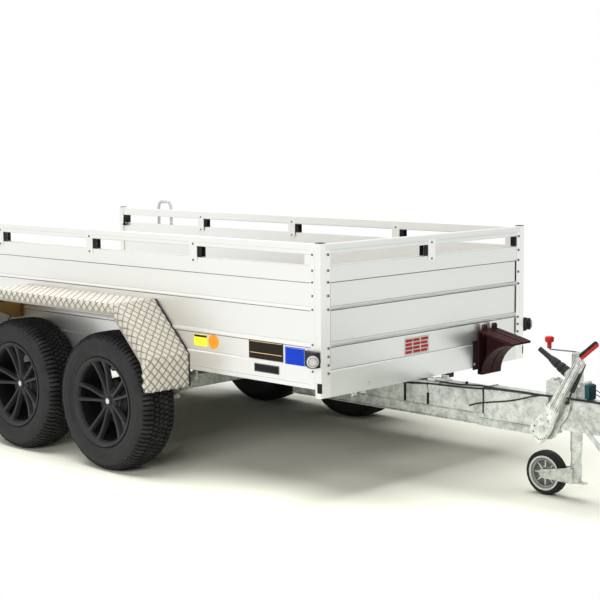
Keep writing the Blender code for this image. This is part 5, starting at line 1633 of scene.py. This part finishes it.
def jockey_rim_form():
    """Bright ring, ribs, holes drawn as dark discs of painted shade, and axle nuts on both faces of the
    pressed wheel.
    """
    form = Form("pressed_steel", "seam", "galvanised_steel")
    rib = [(0.0240, -0.0046), (0.0690, -0.0034), (0.0690, 0.0034), (0.0240, 0.0046)]
    for side in (-1, 1):
        where = facing_frame(jockey_hub, (0, side, 0))
        for slot, steps_round, line in disc_rings:
            form.paint(slot).turned(line, where, steps_round)
        for number in range(8):
            turn = where @ Matrix.Rotation(math.tau * number / 8, 4, "Z")
            form.paint(0).prism(rib, turn, 0.0060, 0.0150, 0.0012)
            hole = turn @ Matrix.Rotation(math.pi / 8, 4, "Z") @ Matrix.Translation((0.0480, 0, 0))
            # Holes as dark discs: painted shade.
            form.paint(1).prism(circle(0.0125, 16), hole, 0.0060, 0.0090)
        nut = jockey_hub + Vector((0, side * 0.0402, 0))
        form.paint(2).bolt(nut, (0, side, 0), 0.017, 0.004, 1.4)
        form.paint(1).rivet(nut + Vector((0, side * 0.0042, 0)), (0, side, 0), 0.010, 0.002)
    return form


gusset_place = -1.365


def gusset_form():
    """Yellow bracket under the fender's rear slope, with two eyes whose holes are dark discs of painted
    shade.
    """
    form = Form("yellow_zinc", "seam")
    upright = Matrix(((0, 0, 1, gusset_place), (1, 0, 0, 0), (0, 1, 0, 0), (0, 0, 0, 1)))
    outline = [(-0.8440, 0.735), (-0.9000, 0.735), (-1.0450, 0.800), (-1.0450, 0.838), (-0.8440, 0.838)]
    form.prism(outline, upright, -0.0015, 0.0015, 0.0004)
    start = gusset_place - 0.018
    form.block((start, -1.045, 0.8350), (gusset_place + 0.006, -0.846, 0.8380), 0.0008)
    form.block((start, -0.8465, 0.735), (gusset_place + 0.018, -0.8430, 0.8380), 0.0008)
    ring = [(0.0065, 0.0002), (0.0075, 0.0026), (0.0120, 0.0026), (0.0130, 0.0002)]
    for y, z in ((-1.012, 0.816), (-0.878, 0.765)):
        eye = facing_frame((gusset_place + 0.0015, y, z), (1, 0, 0))
        form.paint(0).turned(ring, eye, 20)
        # Dark disc in each eye: painted shade of the hole.
        form.paint(1).prism(circle(0.0065, 14), eye, 0.0, 0.0008)
    return form


def bead_form():
    """Rounded ribs over the ridges of the right wall and the front wall, in a lighter copy of the alloy as
    painted highlight, and dark strips beside the front posts as painted shade.
    """
    form = Form("alloy_ribs", "joint_shadow")
    ends = (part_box("wall_right")[0].x + strip_width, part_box("post_front_right")[0].x - strip_width)
    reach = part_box("wall_front")[1].y - strip_width
    # The ribs take the lighter copy of the alloy: painted highlight.
    for low, high in ((0.7868, 0.8092), (0.9676, 0.9844)):
        section = ((low, 0.0012), (low + 0.0016, 0.0056), (low + 0.0055, 0.0068),
                   ((low + high) / 2 + 0.003, 0.0052), (high, 0.0014))
        form.lofted([[(x, -wall_face - out, z) for z, out in section] for x in ends])
        form.lofted([[(front_face + out, y, z) for z, out in section] for y in (-reach, reach)])
    # Dark strips beside the front posts' strips: painted shade of their proud edges.
    form.paint(1)
    for low, high in ((0.9900, 1.1000), (0.8130, 0.9620), (0.7000, 0.7800)):
        for side in (-1, 1):
            near = (front_face - 0.001, side * (reach - 0.007), low)
            form.block(near, (front_face + 0.0008, side * reach, high))
    return form


# Caps and hooks at the rear ends of the side rails: corners from the post's rear face, and chamfer
rail_ends = (
    ((0.0005, 0.8115, 1.1875), (0.0450, 0.8385, 1.2400), 0.001),
    ((0.0060, 0.7890, 1.1650), (0.0520, 0.8030, 1.1800), 0.003),
    ((0.0160, 0.7890, 1.1780), (0.0300, 0.8030, 1.2200), 0.003),
)


def bed_fittings_form():
    """Caps and hooks of the rails, and the small bracket with its bolts under the front edge."""
    form = Form("black_plastic", "galvanised_steel", "dark_zinc")
    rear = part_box("post_rear_right")[1].x
    for side in (-1, 1):
        for low, high, chamfer in rail_ends:
            near = (rear + low[0], side * low[1], low[2])
            form.block(near, (rear + high[0], side * high[1], high[2]), chamfer)
    form.block((1.0835, 0.7580, 1.1875), (1.1140, 0.8025, 1.2400), 0.001)
    form.paint(1)
    form.block((1.0600, -0.6100, 0.5360), (1.1050, -0.4700, 0.5405), 0.001)
    form.block((1.0850, -0.5900, 0.5180), (1.1000, -0.5600, 0.5370), 0.002)
    form.block((1.0850, -0.5200, 0.5220), (1.1000, -0.4900, 0.5370), 0.002)
    form.paint(2)
    for y in (-0.575, -0.505):
        form.bolt((1.0925, y, 0.5190), (0, 0, -1), 0.013, 0.005, 1.5)
    form.paint(1).bolt((1.1173, -0.4885, 0.5736), (1, 0, 0), 0.013, 0.004, 1.6)
    return form


def unit_bracket_form():
    """Bracket, screws and dark ribs of the ribbed unit over the overrun housing."""
    low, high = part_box("ribbed_unit")
    form = Form("galvanised_steel", "bright_zinc", "dark_ribs")
    back = low.x - 0.0004
    near = (low.x - 0.0230, low.y - 0.001, low.z + 0.001)
    form.block(near, (back, high.y + 0.001, high.z + 0.010), 0.001)
    form.block((back, low.y - 0.0025, low.z + 0.001), (high.x, low.y - 0.0004, low.z + 0.012), 0.0006)
    form.paint(1)
    for behind, rise in ((0.0165, 0.020), (0.0065, 0.046), (0.0165, 0.068)):
        form.bolt((low.x - behind, low.y - 0.001, low.z + rise), (0, -1, 0), 0.0085, 0.0035, 1.4)
    near = (low.x + 0.0005, low.y - 0.0018, low.z + 0.012)
    form.block(near, (low.x + 0.0030, low.y - 0.0002, high.z - 0.002))
    form.paint(2)
    for number in range(7):
        y = low.y + 0.003 + number * (high.y - low.y - 0.006) / 6
        near = (high.x - 0.001, y - 0.0016, low.z + 0.004)
        form.block(near, (high.x + 0.0085, y + 0.0016, high.z - 0.003), 0.0006)
    return form


class TRAILER_OT_details(bpy.types.Operator):
    """Ribs of the walls, the jockey wheel's disc, fender gussets and small fittings"""

    bl_idname = "trailer.details"
    bl_label = "Details"

    def execute(self, context):
        beads = bead_form().piece("wall_beads")
        mirrored(beads, "wall_beads_left")
        gussets = gusset_form().piece("fender_gussets_right")
        mirrored(gussets, "fender_gussets_left")
        jockey_rim_form().piece("jockey_disc", "jockey_wheel")
        bed_fittings_form().piece("bed_fittings")
        unit_bracket_form().piece("unit_bracket")
        return {"FINISHED"}


steps = (TRAILER_OT_stage, TRAILER_OT_finishes, TRAILER_OT_wheels, TRAILER_OT_fenders,
         TRAILER_OT_bed, TRAILER_OT_drawbar, TRAILER_OT_hand_brake, TRAILER_OT_jockey_wheel,
         TRAILER_OT_signs, TRAILER_OT_lamps, TRAILER_OT_chocks, TRAILER_OT_details)


class TRAILER_PT_panel(bpy.types.Panel):
    """Lists the pieces of the trailer and what can be changed on them"""

    bl_idname = "TRAILER_PT_panel"
    bl_label = "Trailer"
    bl_space_type = "VIEW_3D"
    bl_region_type = "UI"
    bl_category = "Trailer"

    def draw(self, context):
        for group in (context.scene.trailer_colours, context.scene.trailer_sizes):
            for name in group.__annotations__:
                self.layout.prop(group, name)
        for step in steps:
            self.layout.operator(step.bl_idname)


classes = (TrailerColours, TrailerSizes, *steps, TRAILER_PT_panel)


def register():
    for item in classes:
        bpy.utils.register_class(item)
    bpy.types.Scene.trailer_colours = PointerProperty(type=TrailerColours)
    bpy.types.Scene.trailer_sizes = PointerProperty(type=TrailerSizes)


def unregister():
    del bpy.types.Scene.trailer_sizes
    del bpy.types.Scene.trailer_colours
    for item in reversed(classes):
        bpy.utils.unregister_class(item)


def main():
    register()
    for step in steps:
        group, name = step.bl_idname.split(".")
        getattr(getattr(bpy.ops, group), name)()


if __name__ == "__main__":
    main()
